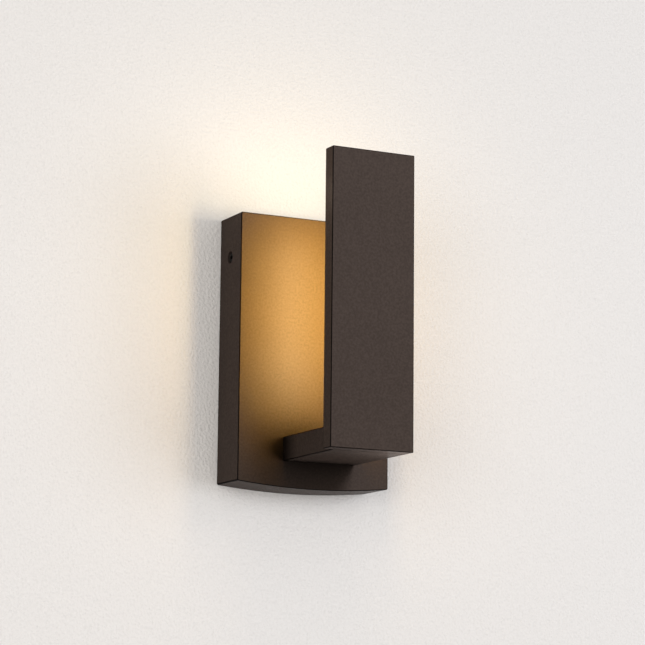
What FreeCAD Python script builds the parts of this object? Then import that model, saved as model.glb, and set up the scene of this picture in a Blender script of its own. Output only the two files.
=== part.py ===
"""Outdoor wall light: a shallow cast canopy, a short tube arm and a tall flat panel that throws warm light back.

Millimetres. The wall is the plane y = 0 and the light stands out from it toward -Y. X is to the
right as seen from in front and Z is up. The origin is the centre of the junction box screws.
In this file "out" is a distance in front of the wall, so a point that lies out has y = -out.
"""
import FreeCAD, Part
import math
import os
import Sketcher

# Driving dimensions: name and millimetres, turns or counts.
SIZES = {
    # canopy
    "canopy_width": 124,
    "canopy_height": 200,
    "canopy_bow": 3.7,
    "canopy_depth": 37,
    "canopy_side_wall": 4,
    "canopy_front_wall": 3,
    "canopy_edge_round": 0.8,
    "canopy_corner_round": 1.2,
    "rim_lip": 1.5,
    # wall gasket
    "wall_gasket_thickness": 2,
    "gasket_clearance": 0.1,
    # side screws, their recesses, seals and nuts
    "side_screw_height": 68.5,
    "side_screw_out": 17.5,
    "recess_radius": 4.3,
    "recess_depth": 4.4,
    "recess_chamfer": 0.4,
    "side_boss_radius": 7,
    "side_boss_depth": 3,
    "side_hole_radius": 2.25,
    "side_screw_radius": 2,
    "side_screw_length": 10,
    "side_head_radius": 3.5,
    "side_head_height": 2.2,
    "side_head_chamfer": 0.3,
    "side_socket_radius": 1.45,
    "side_socket_depth": 1.4,
    "seal_thickness": 1,
    "seal_width": 1.2,
    "clinch_nut_radius": 4.04,
    "clinch_nut_thickness": 3.2,
    "thread_clearance": 0.05,
    # mounting plate
    "plate_thickness": 1.5,
    "plate_low": 75,
    "plate_high": 85,
    "plate_corner_round": 5,
    "ear_gap": 0.3,
    "ear_height": 18,
    "ear_reach": 24,
    "ear_round": 4,
    "bend_round": 1.2,
    "hook_offset": 35,
    "hook_width": 14,
    "hook_reach": 10,
    "hook_drop": 8,
    "lug_width": 10,
    "lug_thickness": 3,
    "lug_gap": 0.5,
    "box_slot_offset": 39.7,
    "box_slot_length": 14.3,
    "box_slot_width": 4.8,
    "cable_hole_radius": 11,
    "anchor_hole_offset": 62,
    "anchor_hole_radius": 2.6,
    "earth_screw_across": 24,
    "earth_screw_down": 45,
    "earth_screw_radius": 2,
    "earth_head_radius": 4.2,
    "earth_head_height": 2.6,
    "earth_socket_radius": 1.5,
    "earth_socket_depth": 1.5,
    # driver
    "driver_width": 40,
    "driver_height": 100,
    "driver_depth": 22,
    "driver_lift": 5,
    "driver_wall": 1.8,
    "driver_lid_thickness": 1.6,
    "driver_lid_lip": 1.6,
    "driver_ledge": 1.2,
    "driver_board_thickness": 1.6,
    "driver_board_lift": 4.2,
    "driver_fit": 0.15,
    "driver_corner_round": 1.5,
    "driver_tab_width": 16,
    "driver_tab_reach": 10,
    "driver_tab_thickness": 1.6,
    "driver_boss_radius": 3.5,
    "driver_boss_height": 4,
    "driver_screw_radius": 1.5,
    "driver_screw_length": 6,
    "driver_head_radius": 2.8,
    "driver_head_height": 1.8,
    "driver_socket_radius": 1.2,
    "driver_socket_depth": 1,
    "coil_radius": 9,
    "coil_height": 8,
    "capacitor_radius": 4,
    "capacitor_height": 9,
    "driver_parts_pitch": 21,
    # terminal block
    "terminal_width": 30,
    "terminal_height": 12,
    "terminal_depth": 13,
    "terminal_gap": 25,
    "terminal_pitch": 9,
    "terminal_wire_radius": 1.4,
    "terminal_wire_reach": 5,
    "terminal_screw_radius": 1.6,
    "terminal_screw_length": 6,
    "terminal_socket_radius": 0.9,
    "terminal_round": 1,
    # arm
    "arm_inset": 8,
    "arm_height": 18,
    "arm_wall": 2.4,
    "arm_edge_round": 0.8,
    "arm_web": 2.4,
    "bolt_channel_radius": 4.75,
    "bolt_inset": 10.25,
    "bolt_hole_radius": 2.75,
    "arm_gasket_inset": 0.8,
    "arm_gasket_width": 3,
    "arm_gasket_thickness": 1.2,
    # tie bolts and washers
    "bolt_radius": 2.5,
    "bolt_head_radius": 4.25,
    "bolt_head_height": 5,
    "bolt_socket_radius": 2.3,
    "bolt_socket_depth": 2.5,
    "bolt_tip_gap": 0.7,
    "washer_radius": 5,
    "washer_thickness": 1,
    # leads and grommets
    "lead_radius": 0.8,
    "lead_spacing": 2,
    "lead_hole_clearance": 0.3,
    "grommet_radius": 4.5,
    "grommet_flange": 1.2,
    "grommet_flange_thickness": 1,
    "grommet_bore_radius": 2.4,
    # panel
    "panel_width": 66.5,
    "panel_height": 217.5,
    "panel_depth": 12,
    "panel_projection": 129.5,
    "panel_drop": 83.75,
    "panel_front_wall": 2.4,
    "panel_edge_round": 0.7,
    "panel_lip": 1.5,
    "panel_floor_left": 2,
    # rear cover and its screws
    "cover_thickness": 2,
    "cover_clearance": 0.1,
    "cover_corner_round": 1,
    "cover_screw_inset": 10.25,
    "cover_screw_low": 27,
    "cover_screw_high": 12.5,
    "cover_screw_radius": 1.5,
    "cover_screw_length": 6.5,
    "cover_head_radius": 2.8,
    "cover_head_land": 0.4,
    "cover_hole_radius": 1.65,
    "cover_socket_radius": 1.1,
    "cover_socket_depth": 0.9,
    # lens and its gasket
    "window_low": 39,
    "window_side_margin": 8.25,
    "window_top_margin": 28.5,
    "window_round": 3,
    "window_clearance": 0.15,
    "lens_flange_width": 3.5,
    "lens_flange_thickness": 1.5,
    "lens_gasket_thickness": 1,
    "lens_gasket_width": 3,
    "lens_seat_clearance": 0.3,
    # light source
    "led_cavity_inset": 2.5,
    "led_board_side_margin": 3,
    "led_board_thickness": 1.6,
    "led_board_margin": 2,
    "thermal_tape_thickness": 0.5,
    "thermal_tape_inset": 1,
    "chip_width": 2.8,
    "chip_height": 3.5,
    "chip_thickness": 0.8,
    "chip_column_offset": 9,
    "chip_low_margin": 14,
    "chip_high_margin": 4,
    "chip_count": 12,
    "connector_width": 8,
    "connector_height": 7,
    "connector_thickness": 3,
    "connector_inset": 1,
    "lead_channel_width": 16,
    # overrun of cuts that break out of a face
    "overrun": 1,
}

# Places worked out from the driving dimensions, in the order in which they depend on each other.
PLACES = {
    "canopy_side": "sizes.canopy_width / 2",
    "canopy_top": "sizes.canopy_height / 2",
    "bow_radius": "(canopy_side ^ 2 + sizes.canopy_bow ^ 2) / (2 * sizes.canopy_bow)",
    "bow_centre": "bow_radius - canopy_top - sizes.canopy_bow",
    "front_inside": "sizes.canopy_depth - sizes.canopy_front_wall",
    "canopy_inner_side": "canopy_side - sizes.canopy_side_wall",
    "side_boss_face": "canopy_inner_side - sizes.side_boss_depth",
    "recess_floor": "canopy_side - sizes.recess_depth",
    "side_head_seat": "recess_floor + sizes.seal_thickness",
    "ear_face": "side_boss_face - sizes.ear_gap",
    "ear_inner_face": "ear_face - sizes.plate_thickness",
    "hook_leg_face": "sizes.hook_reach - sizes.plate_thickness",
    "lug_out": "hook_leg_face - sizes.lug_gap - sizes.lug_thickness",
    "lug_top": "-sizes.plate_low - sizes.plate_thickness",
    "lug_root": "bow_centre - sqrt((bow_radius - sizes.canopy_side_wall / 2) ^ 2 - sizes.hook_offset ^ 2)",
    "driver_half_width": "sizes.driver_width / 2",
    "driver_half_height": "sizes.driver_height / 2",
    "driver_rear": "front_inside - sizes.driver_depth",
    "driver_floor": "sizes.driver_depth - sizes.driver_wall",
    "driver_board_seat": "driver_floor - sizes.driver_board_lift",
    "driver_board_face": "driver_board_seat - sizes.driver_board_thickness",
    "driver_seat_half_width": "driver_half_width - sizes.driver_wall",
    "driver_seat_half_height": "driver_half_height - sizes.driver_wall",
    "driver_tab_start": "sizes.driver_depth - sizes.driver_boss_height - sizes.driver_tab_thickness",
    "driver_screw_along": "driver_half_height + sizes.driver_tab_reach / 2",
    "driver_lead_out": "driver_rear + sizes.driver_depth / 2",
    "terminal_half_width": "sizes.terminal_width / 2",
    "terminal_low": "sizes.driver_lift + driver_half_height + sizes.terminal_gap",
    "terminal_rear": "front_inside - sizes.terminal_depth",
    "terminal_wire_out": "terminal_rear + sizes.terminal_depth / 2",
    "panel_side": "sizes.panel_width / 2",
    "panel_rear": "sizes.panel_projection - sizes.panel_depth",
    "panel_inside": "sizes.panel_depth - sizes.panel_front_wall",
    "arm_width": "sizes.panel_width - sizes.arm_inset",
    "arm_side": "arm_width / 2",
    "arm_top": "sizes.arm_height / 2",
    "arm_across": "panel_side - arm_side",
    "arm_up": "arm_top - sizes.panel_drop",
    "arm_length": "panel_rear - sizes.canopy_depth",
    "bolt_offset": "arm_side - sizes.bolt_inset",
    "bolt_hole_end": "panel_rear + sizes.panel_depth - sizes.panel_floor_left",
    "bolt_seat": "front_inside - sizes.washer_thickness",
    "bolt_length": "bolt_hole_end - sizes.bolt_tip_gap - bolt_seat",
    "window_side": "panel_side - sizes.window_side_margin",
    "window_high": "sizes.panel_height - sizes.window_top_margin",
    "flange_side": "window_side + sizes.lens_flange_width",
    "flange_low": "sizes.window_low - sizes.lens_flange_width",
    "flange_high": "window_high + sizes.lens_flange_width",
    "lens_gasket_end": "sizes.cover_thickness + sizes.lens_gasket_thickness",
    "lens_flange_end": "lens_gasket_end + sizes.lens_flange_thickness",
    "cavity_side": "flange_side - sizes.led_cavity_inset",
    "cavity_low": "flange_low + sizes.led_cavity_inset",
    "cavity_high": "flange_high - sizes.led_cavity_inset",
    "board_side": "cavity_side - sizes.led_board_side_margin",
    "board_low": "cavity_low + sizes.led_board_margin",
    "board_high": "cavity_high - sizes.led_board_margin",
    "board_rear": "panel_inside - sizes.thermal_tape_thickness - sizes.led_board_thickness",
    "cover_side": "panel_side - sizes.panel_lip - sizes.cover_clearance",
    "cover_low": "sizes.panel_lip + sizes.cover_clearance",
    "cover_high": "sizes.panel_height - sizes.panel_lip - sizes.cover_clearance",
    "cover_screw_across": "panel_side - sizes.cover_screw_inset",
    "cover_screw_top": "sizes.panel_height - sizes.cover_screw_high",
    "cover_sink": "sizes.cover_head_radius - sizes.cover_screw_radius",
    "cover_head_height": "sizes.cover_head_land + cover_sink",
    "chip_low": "board_low + sizes.chip_low_margin",
    "chip_rise": "board_high - sizes.chip_high_margin - sizes.chip_height - chip_low",
    "connector_low": "board_low + sizes.connector_inset",
}

# How much of the free length beside a corner a lead's bend takes up.
LEAD_BEND_SHARE = 0.9

doc = FreeCAD.newDocument("wall_light")


def fill_sheet(name, cells, prefix):
    """Write named cells, one row each, and return the sheet."""
    sheet = doc.addObject("Spreadsheet::Sheet", name)
    for row, (alias, content) in enumerate(cells.items(), start=1):
        sheet.set(f"A{row}", alias)
        sheet.set(f"B{row}", f"{prefix}{content}")
        sheet.setAlias(f"B{row}", alias)
    doc.recompute()
    return sheet


sizes = fill_sheet("sizes", SIZES, "")
places = fill_sheet("places", PLACES, "=")


def worth(expression):
    """The number that an expression of sizes and places comes to."""
    return float(sizes.evalExpression(expression))


def new_body(label, across="0", out="0", up="0", turn=0):
    """Start a body whose own origin lies across, out and up, turned about the vertical."""
    body = doc.addObject("PartDesign::Body", label)
    body.Label = label
    body.Placement.Rotation = FreeCAD.Rotation(FreeCAD.Vector(0, 0, 1), turn)
    body.setExpression("Placement.Base.x", across)
    body.setExpression("Placement.Base.y", f"-({out})")
    body.setExpression("Placement.Base.z", up)
    return body


def new_sketch(body, name, start="0", role="XZ_Plane"):
    """Add a sketch parallel to an origin plane of the body, start away along the plane's normal."""
    plane = next(feature for feature in body.Origin.OriginFeatures if feature.Role == role)
    sketch = body.newObject("Sketcher::SketchObject", f"{body.Label}_{name}")
    sketch.AttachmentSupport = (plane, "")
    sketch.MapMode = "FlatFace"
    sketch.setExpression("AttachmentOffset.Base.z", start)
    return sketch


def bind(sketch, kind, expression, *elements):
    """Add one dimension to a sketch and tie it to an expression."""
    constraint = Sketcher.Constraint(kind, *elements, worth(expression))
    number = sketch.addConstraint(constraint)
    sketch.setExpression(f"Constraints[{number}]", expression)


def pin(sketch, geometry, point, across, along):
    """Hold a point of a sketch at a distance across and along from the sketch's origin."""
    bind(sketch, "DistanceX", across, -1, 1, geometry, point)
    bind(sketch, "DistanceY", along, -1, 1, geometry, point)


def spot(across, along):
    return FreeCAD.Vector(worth(across), worth(along), 0)


def draw_polygon(sketch, corners):
    """Draw a closed outline of straight lines through corners given as pairs of expressions."""
    first = sketch.GeometryCount
    spots = [spot(across, along) for across, along in corners]
    for start, end in zip(spots, spots[1:] + spots[:1]):
        sketch.addGeometry(Part.LineSegment(start, end), False)
    for number, (across, along) in enumerate(corners):
        following = first + (number + 1) % len(corners)
        sketch.addConstraint(Sketcher.Constraint("Coincident", first + number, 2, following, 1))
        pin(sketch, first + number, 1, across, along)


def draw_rectangle(sketch, left, right, low, high):
    draw_polygon(sketch, [(left, low), (right, low), (right, high), (left, high)])


def draw_centred_rectangle(sketch, half_width, half_height):
    draw_rectangle(sketch, f"-({half_width})", half_width, f"-({half_height})", half_height)


def draw_circle(sketch, across, along, radius):
    number = sketch.addGeometry(Part.Circle(spot(across, along), FreeCAD.Vector(0, 0, 1), worth(radius)), False)
    pin(sketch, number, 3, across, along)
    bind(sketch, "Radius", radius, number)


def draw_hexagon(sketch, across, along, radius):
    """Draw a regular hexagon with a corner straight above its centre."""
    corners = []
    for step in range(6):
        angle = f"{60 * step + 90} deg"
        corners.append((f"{across} + ({radius}) * cos({angle})", f"{along} + ({radius}) * sin({angle})"))
    draw_polygon(sketch, corners)


def draw_slot(sketch, across, along, length, width):
    """Draw a slot with round ends that runs across, its centre at across and along."""
    radius = f"({width}) / 2"
    reach = f"(({length}) - ({width})) / 2"
    axis = FreeCAD.Vector(0, 0, 1)
    left, right = spot(f"{across} - {reach}", along), spot(f"{across} + {reach}", along)
    rise = FreeCAD.Vector(0, worth(radius), 0)
    first = sketch.GeometryCount
    sketch.addGeometry(Part.LineSegment(right + rise, left + rise), False)
    sketch.addGeometry(Part.ArcOfCircle(Part.Circle(left, axis, rise.y), math.pi / 2, 3 * math.pi / 2), False)
    sketch.addGeometry(Part.LineSegment(left - rise, right - rise), False)
    sketch.addGeometry(Part.ArcOfCircle(Part.Circle(right, axis, rise.y), -math.pi / 2, math.pi / 2), False)
    for number in range(4):
        following = first + (number + 1) % 4
        sketch.addConstraint(Sketcher.Constraint("Tangent", first + number, 2, following, 1))
    pin(sketch, first + 1, 3, f"{across} - {reach}", along)
    pin(sketch, first + 3, 3, f"{across} + {reach}", along)
    bind(sketch, "Radius", radius, first + 1)


def draw_bowed_outline(sketch, inset):
    """Draw the canopy's outline, moved inward by inset: straight top and sides, and a bottom that bows down."""
    side = f"(places.canopy_side - {inset})"
    top = f"(places.canopy_top - {inset})"
    radius = f"(places.bow_radius - {inset})"
    low = f"(places.bow_centre - sqrt({radius} ^ 2 - {side} ^ 2))"
    corners = [(f"-{side}", low), (side, low), (side, top), (f"-{side}", top)]
    spots = [spot(across, along) for across, along in corners]
    lowest = spot("0", f"places.bow_centre - {radius}")
    first = sketch.GeometryCount
    sketch.addGeometry(Part.Arc(spots[0], lowest, spots[1]), False)
    for start, end in zip(spots[1:], spots[2:] + spots[:1]):
        sketch.addGeometry(Part.LineSegment(start, end), False)
    for number in range(1, 4):
        pin(sketch, first + number, 1, *corners[number])
        if number < 3:
            sketch.addConstraint(Sketcher.Constraint("Coincident", first + number, 2, first + number + 1, 1))
    pin(sketch, first + 3, 2, *corners[0])
    sketch.addConstraint(Sketcher.Constraint("Coincident", first, 2, first + 1, 1))
    sketch.addConstraint(Sketcher.Constraint("Coincident", first, 1, first + 3, 2))
    bind(sketch, "Radius", radius, first)


def add_feature(body, kind, sketch, word, length, reverse, grows):
    """Add a pad or pocket and make sure that it changed the body's volume the right way."""
    before = body.Shape.Volume if body.Tip else 0
    feature = body.newObject(kind, f"{sketch.Name}_{word}")
    feature.Profile = sketch
    feature.Reversed = reverse
    if length:
        feature.setExpression("Length", length)
    else:
        feature.Type = "ThroughAll"
    doc.recompute()
    after = body.Shape.Volume
    if (after > before) is not grows or after == before:
        raise RuntimeError(f"{feature.Name} left the volume at {after:.1f}, from {before:.1f}")
    return feature


def grow(body, sketch, length, reverse=False):
    """Pad a sketch along its normal, which points away from the wall on the bodies' usual plane."""
    return add_feature(body, "PartDesign::Pad", sketch, "pad", length, reverse, True)


def cut(body, sketch, length=None, reverse=False):
    """Pocket a sketch along its normal, right through if no length is given."""
    return add_feature(body, "PartDesign::Pocket", sketch, "pocket", length, not reverse, False)


def dress(body, kind, size, expression, wanted):
    """Fillet or chamfer the edges of the body's last feature that wanted picks by their box."""
    base = body.Tip
    names = []
    for number, edge in enumerate(base.Shape.Edges, start=1):
        if wanted(edge.BoundBox, edge):
            names.append(f"Edge{number}")
    if not names:
        raise RuntimeError(f"{body.Label} has no edge for its {kind}")
    feature = body.newObject(f"PartDesign::{kind}", f"{body.Label}_{kind.lower()}")
    feature.Base = (base, names)
    feature.setExpression(size, expression)
    doc.recompute()
    return feature


def round_edges(body, radius, wanted):
    return dress(body, "Fillet", "Radius", radius, wanted)


def chamfer_edges(body, size, wanted):
    return dress(body, "Chamfer", "Size", size, wanted)


TOUCH = 1e-4


def runs_out(box, edge):
    """An edge that runs straight out from the wall."""
    return box.XLength < TOUCH and box.ZLength < TOUCH and box.YLength > TOUCH


def lies_at_out(out):
    """A test for edges that lie in the plane that is out in front of the body's origin."""
    depth = -worth(out)
    return lambda box, edge: box.YLength < TOUCH and abs(box.YMin - depth) < TOUCH


def lies_at_across(across):
    """A test for edges that lie in the plane at across."""
    place = worth(across)
    return lambda box, edge: box.XLength < TOUCH and abs(box.XMin - place) < TOUCH


def finish_body(body):
    """Keep the body's last feature as the one that it shows."""
    doc.recompute()
    finished.append(body)
    return body


finished = []


def make_screws(label, spots, out, head, shank, length, socket, up="0", sunk=None):
    """Make a group of like screws whose heads are on the wall's side.

    spots are pairs of expressions, out is where the heads start, head and socket are (radius, depth),
    and length is measured under the head, or over all for a sunk head, whose cone is sunk deep.
    """
    body = new_body(label, out=out, up=up)
    head_radius, head_height = head
    socket_radius, socket_depth = socket
    heads = new_sketch(body, "heads")
    shanks = new_sketch(body, "shanks", head_height)
    sockets = new_sketch(body, "sockets")
    for across, along in spots:
        draw_circle(heads, across, along, head_radius)
        draw_circle(shanks, across, along, shank)
        draw_hexagon(sockets, across, along, socket_radius)
    grow(body, heads, head_height)
    if sunk:
        chamfer_edges(body, sunk, lies_at_out(head_height))
    grow(body, shanks, length)
    cut(body, sockets, socket_depth)
    return finish_body(body)


def make_ring_pad(label, out, start, length, draw_outer, draw_inner, across="0", up="0"):
    """Make a flat ring between two outlines."""
    body = new_body(label, across=across, out=out, up=up)
    sketch = new_sketch(body, "outline", start)
    draw_outer(sketch)
    draw_inner(sketch)
    grow(body, sketch, length)
    return finish_body(body)


SIDES = (("left", -1), ("right", 1))


def signed(sign, expression):
    return f"{sign} * ({expression})"


def make_canopy():
    """The cast box against the wall, open at the wall, with recessed side screws and a seat for the arm."""
    body = new_body("canopy")
    outline = new_sketch(body, "outline")
    draw_bowed_outline(outline, "0")
    grow(body, outline, "sizes.canopy_depth")
    round_edges(body, "sizes.canopy_corner_round", runs_out)
    round_edges(body, "sizes.canopy_edge_round", lies_at_out("sizes.canopy_depth"))

    hollow = new_sketch(body, "hollow")
    draw_bowed_outline(hollow, "sizes.canopy_side_wall")
    cut(body, hollow, "places.front_inside")
    rebate = new_sketch(body, "rebate")
    draw_bowed_outline(rebate, "sizes.rim_lip")
    cut(body, rebate, "sizes.wall_gasket_thickness")

    for name, sign in SIDES:
        boss = new_sketch(body, f"{name}_boss", signed(sign, "places.side_boss_face"), "YZ_Plane")
        draw_circle(boss, "-sizes.side_screw_out", "sizes.side_screw_height", "sizes.side_boss_radius")
        grow(body, boss, "sizes.side_boss_depth + sizes.canopy_side_wall / 2", reverse=sign < 0)
        recess = new_sketch(body, f"{name}_recess", signed(sign, "places.recess_floor"), "YZ_Plane")
        draw_circle(recess, "-sizes.side_screw_out", "sizes.side_screw_height", "sizes.recess_radius")
        cut(body, recess, "sizes.recess_depth + sizes.overrun", reverse=sign < 0)
        hole = new_sketch(body, f"{name}_hole", signed(sign, "places.side_boss_face - sizes.overrun"), "YZ_Plane")
        draw_circle(hole, "-sizes.side_screw_out", "sizes.side_screw_height", "sizes.side_hole_radius")
        cut(body, hole, "sizes.side_boss_depth + sizes.canopy_side_wall", reverse=sign < 0)
    rims = lies_at_across("places.canopy_side"), lies_at_across("-places.canopy_side")
    widest = 2 * worth("sizes.recess_radius") + TOUCH
    chamfer_edges(
        body,
        "sizes.recess_chamfer",
        lambda box, edge: any(rim(box, edge) for rim in rims) and box.ZLength < widest and box.YLength > TOUCH,
    )

    lugs = new_sketch(body, "lugs", "places.lug_out")
    for _, sign in SIDES:
        middle = signed(sign, "sizes.hook_offset")
        half = "sizes.lug_width / 2"
        draw_rectangle(lugs, f"{middle} - {half}", f"{middle} + {half}", "places.lug_root", "places.lug_top")
    grow(body, lugs, "sizes.lug_thickness")

    bosses = new_sketch(body, "driver_bosses", "places.front_inside - sizes.driver_boss_height")
    taps = new_sketch(body, "driver_taps", "places.front_inside - sizes.driver_boss_height")
    for _, sign in SIDES:
        along = f"sizes.driver_lift + {signed(sign, 'places.driver_screw_along')}"
        draw_circle(bosses, "0", along, "sizes.driver_boss_radius")
        draw_circle(taps, "0", along, "sizes.driver_screw_radius + sizes.thread_clearance")
    grow(body, bosses, "sizes.driver_boss_height + sizes.canopy_front_wall / 2")
    cut(body, taps, "sizes.driver_screw_length - sizes.driver_tab_thickness + sizes.bolt_tip_gap")

    groove = new_sketch(body, "arm_gasket_groove", "sizes.canopy_depth - sizes.arm_gasket_thickness")
    draw_gasket_frame(groove, "sizes.arm_gasket_inset - sizes.gasket_clearance", "2 * sizes.gasket_clearance")
    cut(body, groove, "sizes.arm_gasket_thickness + sizes.overrun")
    holes = new_sketch(body, "arm_holes", "places.front_inside - sizes.overrun")
    draw_bolt_circles(holes, "sizes.bolt_hole_radius")
    draw_circle(holes, "places.arm_across", "places.arm_up", "sizes.grommet_radius")
    cut(body, holes)
    return finish_body(body)


def draw_gasket_frame(sketch, inset, extra):
    """Draw two nested rectangles round the arm's end, seen from the canopy's origin."""
    for step in ("0", f"sizes.arm_gasket_width + {extra}"):
        side = f"(places.arm_side - ({inset}) - ({step}))"
        rise = f"(places.arm_top - ({inset}) - ({step}))"
        draw_rectangle(
            sketch,
            f"places.arm_across - {side}",
            f"places.arm_across + {side}",
            f"places.arm_up - {rise}",
            f"places.arm_up + {rise}",
        )


def bolt_spots():
    """Where the two tie bolts run, seen from the canopy's origin."""
    return [(f"places.arm_across + {signed(sign, 'places.bolt_offset')}", "places.arm_up") for _, sign in SIDES]


def draw_bolt_circles(sketch, radius):
    for across, along in bolt_spots():
        draw_circle(sketch, across, along, radius)


def make_wall_gasket():
    """The foam ring in the rebate of the canopy's rim."""
    return make_ring_pad(
        "wall_gasket", "0", "0", "sizes.wall_gasket_thickness",
        lambda sketch: draw_bowed_outline(sketch, "(sizes.rim_lip + sizes.gasket_clearance)"),
        lambda sketch: draw_bowed_outline(sketch, "sizes.canopy_side_wall"),
    )


def make_mounting_plate():
    """The folded steel plate on the junction box: ears for the side screws above, hooks for the canopy below."""
    body = new_body("mounting_plate")
    outline = new_sketch(body, "outline")
    draw_rectangle(outline, "-places.ear_face", "places.ear_face", "-sizes.plate_low", "sizes.plate_high")
    grow(body, outline, "sizes.plate_thickness")
    round_edges(body, "sizes.plate_corner_round", runs_out)

    ears = new_sketch(body, "ears")
    for _, sign in SIDES:
        edges = sorted((signed(sign, "places.ear_inner_face"), signed(sign, "places.ear_face")), key=worth)
        half = "sizes.ear_height / 2"
        draw_rectangle(ears, *edges, f"sizes.side_screw_height - {half}", f"sizes.side_screw_height + {half}")
    grow(body, ears, "sizes.ear_reach")

    arms = new_sketch(body, "hook_arms")
    legs = new_sketch(body, "hook_legs", "places.hook_leg_face")
    for _, sign in SIDES:
        left = f"{signed(sign, 'sizes.hook_offset')} - sizes.hook_width / 2"
        right = f"{signed(sign, 'sizes.hook_offset')} + sizes.hook_width / 2"
        draw_rectangle(arms, left, right, "-sizes.plate_low", "sizes.plate_thickness - sizes.plate_low")
        drop = "-sizes.plate_low - sizes.hook_drop"
        draw_rectangle(legs, left, right, drop, "sizes.plate_thickness - sizes.plate_low")
    grow(body, arms, "sizes.hook_reach")
    grow(body, legs, "sizes.plate_thickness")
    tip = -worth("sizes.ear_reach")
    round_edges(
        body, "sizes.ear_round",
        lambda box, edge: box.YLength < TOUCH and abs(box.YMin - tip) < TOUCH and box.ZLength < TOUCH,
    )
    inner = worth("places.ear_inner_face")
    face = -worth("sizes.plate_thickness")
    round_edges(
        body, "sizes.bend_round",
        lambda box, edge: abs(box.YMin - face) < TOUCH and box.YLength < TOUCH
        and box.XLength < TOUCH and abs(abs(box.XMin) - inner) < TOUCH,
    )

    openings = new_sketch(body, "openings")
    for _, sign in SIDES:
        slot_centre = signed(sign, "sizes.box_slot_offset")
        draw_slot(openings, slot_centre, "0", "sizes.box_slot_length", "sizes.box_slot_width")
        draw_circle(openings, "0", signed(sign, "sizes.anchor_hole_offset"), "sizes.anchor_hole_radius")
    draw_circle(openings, "0", "0", "sizes.cable_hole_radius")
    earth_radius = "sizes.earth_screw_radius + sizes.thread_clearance"
    draw_circle(openings, "sizes.earth_screw_across", "-sizes.earth_screw_down", earth_radius)
    cut(body, openings, "sizes.plate_thickness + sizes.overrun")
    holes = new_sketch(body, "ear_holes", "-places.ear_face - sizes.overrun", "YZ_Plane")
    draw_circle(holes, "-sizes.side_screw_out", "sizes.side_screw_height", "sizes.side_hole_radius")
    cut(body, holes)
    return finish_body(body)


def make_clinch_nuts():
    """The threaded nuts pressed into the inner faces of the ears."""
    body = new_body("clinch_nuts")
    for name, sign in SIDES:
        hexagon = new_sketch(body, name, signed(sign, "places.ear_inner_face"), "YZ_Plane")
        draw_hexagon(hexagon, "-sizes.side_screw_out", "sizes.side_screw_height", "sizes.clinch_nut_radius")
        thread_radius = "sizes.side_screw_radius + sizes.thread_clearance"
        draw_circle(hexagon, "-sizes.side_screw_out", "sizes.side_screw_height", thread_radius)
        grow(body, hexagon, "sizes.clinch_nut_thickness", reverse=sign > 0)
    return finish_body(body)


def make_side_screw(name, sign):
    """A socket screw through the canopy's side into the ear, made about its own axis with the head's seat at zero."""
    seat = signed(sign, "places.side_head_seat")
    turn = 0 if sign > 0 else 180
    body = new_body(f"{name}_side_screw", seat, "sizes.side_screw_out", "sizes.side_screw_height", turn)
    profile = new_sketch(body, "profile", role="XY_Plane")
    edge = "sizes.side_head_chamfer"
    draw_polygon(profile, [
        ("-sizes.side_screw_length", "0"),
        ("-sizes.side_screw_length", f"sizes.side_screw_radius - {edge}"),
        (f"{edge} - sizes.side_screw_length", "sizes.side_screw_radius"),
        ("0", "sizes.side_screw_radius"),
        ("0", "sizes.side_head_radius"),
        (f"sizes.side_head_height - {edge}", "sizes.side_head_radius"),
        ("sizes.side_head_height", f"sizes.side_head_radius - {edge}"),
        ("sizes.side_head_height", "0"),
    ])
    spin(body, profile)
    socket = new_sketch(body, "socket", "sizes.side_head_height", "YZ_Plane")
    draw_hexagon(socket, "0", "0", "sizes.side_socket_radius")
    cut(body, socket, "sizes.side_socket_depth", reverse=True)
    return finish_body(body)


def spin(body, profile):
    """Revolve a half profile about the sketch's own horizontal axis."""
    feature = body.newObject("PartDesign::Revolution", f"{profile.Name}_revolution")
    feature.Profile = profile
    feature.ReferenceAxis = (profile, ["H_Axis"])
    doc.recompute()
    return feature


def make_screw_seal(name, sign):
    """The sealing washer under a side screw's head."""
    floor = signed(sign, "places.recess_floor")
    turn = 0 if sign > 0 else 180
    body = new_body(f"{name}_screw_seal", floor, "sizes.side_screw_out", "sizes.side_screw_height", turn)
    ring = new_sketch(body, "ring", role="YZ_Plane")
    bore = "sizes.side_screw_radius + sizes.thread_clearance"
    draw_circle(ring, "0", "0", f"{bore} + sizes.seal_width")
    draw_circle(ring, "0", "0", bore)
    grow(body, ring, "sizes.seal_thickness")
    return finish_body(body)


def make_earth_screw():
    """The earthing screw on the mounting plate, its head away from the wall."""
    body = new_body("earth_screw", "sizes.earth_screw_across", "0", "-sizes.earth_screw_down")
    shank = new_sketch(body, "shank")
    draw_circle(shank, "0", "0", "sizes.earth_screw_radius")
    grow(body, shank, "sizes.plate_thickness")
    head = new_sketch(body, "head", "sizes.plate_thickness")
    draw_hexagon(head, "0", "0", "sizes.earth_head_radius")
    grow(body, head, "sizes.earth_head_height")
    top = "(sizes.plate_thickness + sizes.earth_head_height)"
    socket = new_sketch(body, "socket", f"{top} - sizes.earth_socket_depth")
    draw_hexagon(socket, "0", "0", "sizes.earth_socket_radius")
    cut(body, socket, "sizes.earth_socket_depth + sizes.overrun")
    return finish_body(body)


def driver_body(label):
    return new_body(label, out="places.driver_rear", up="sizes.driver_lift")


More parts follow.
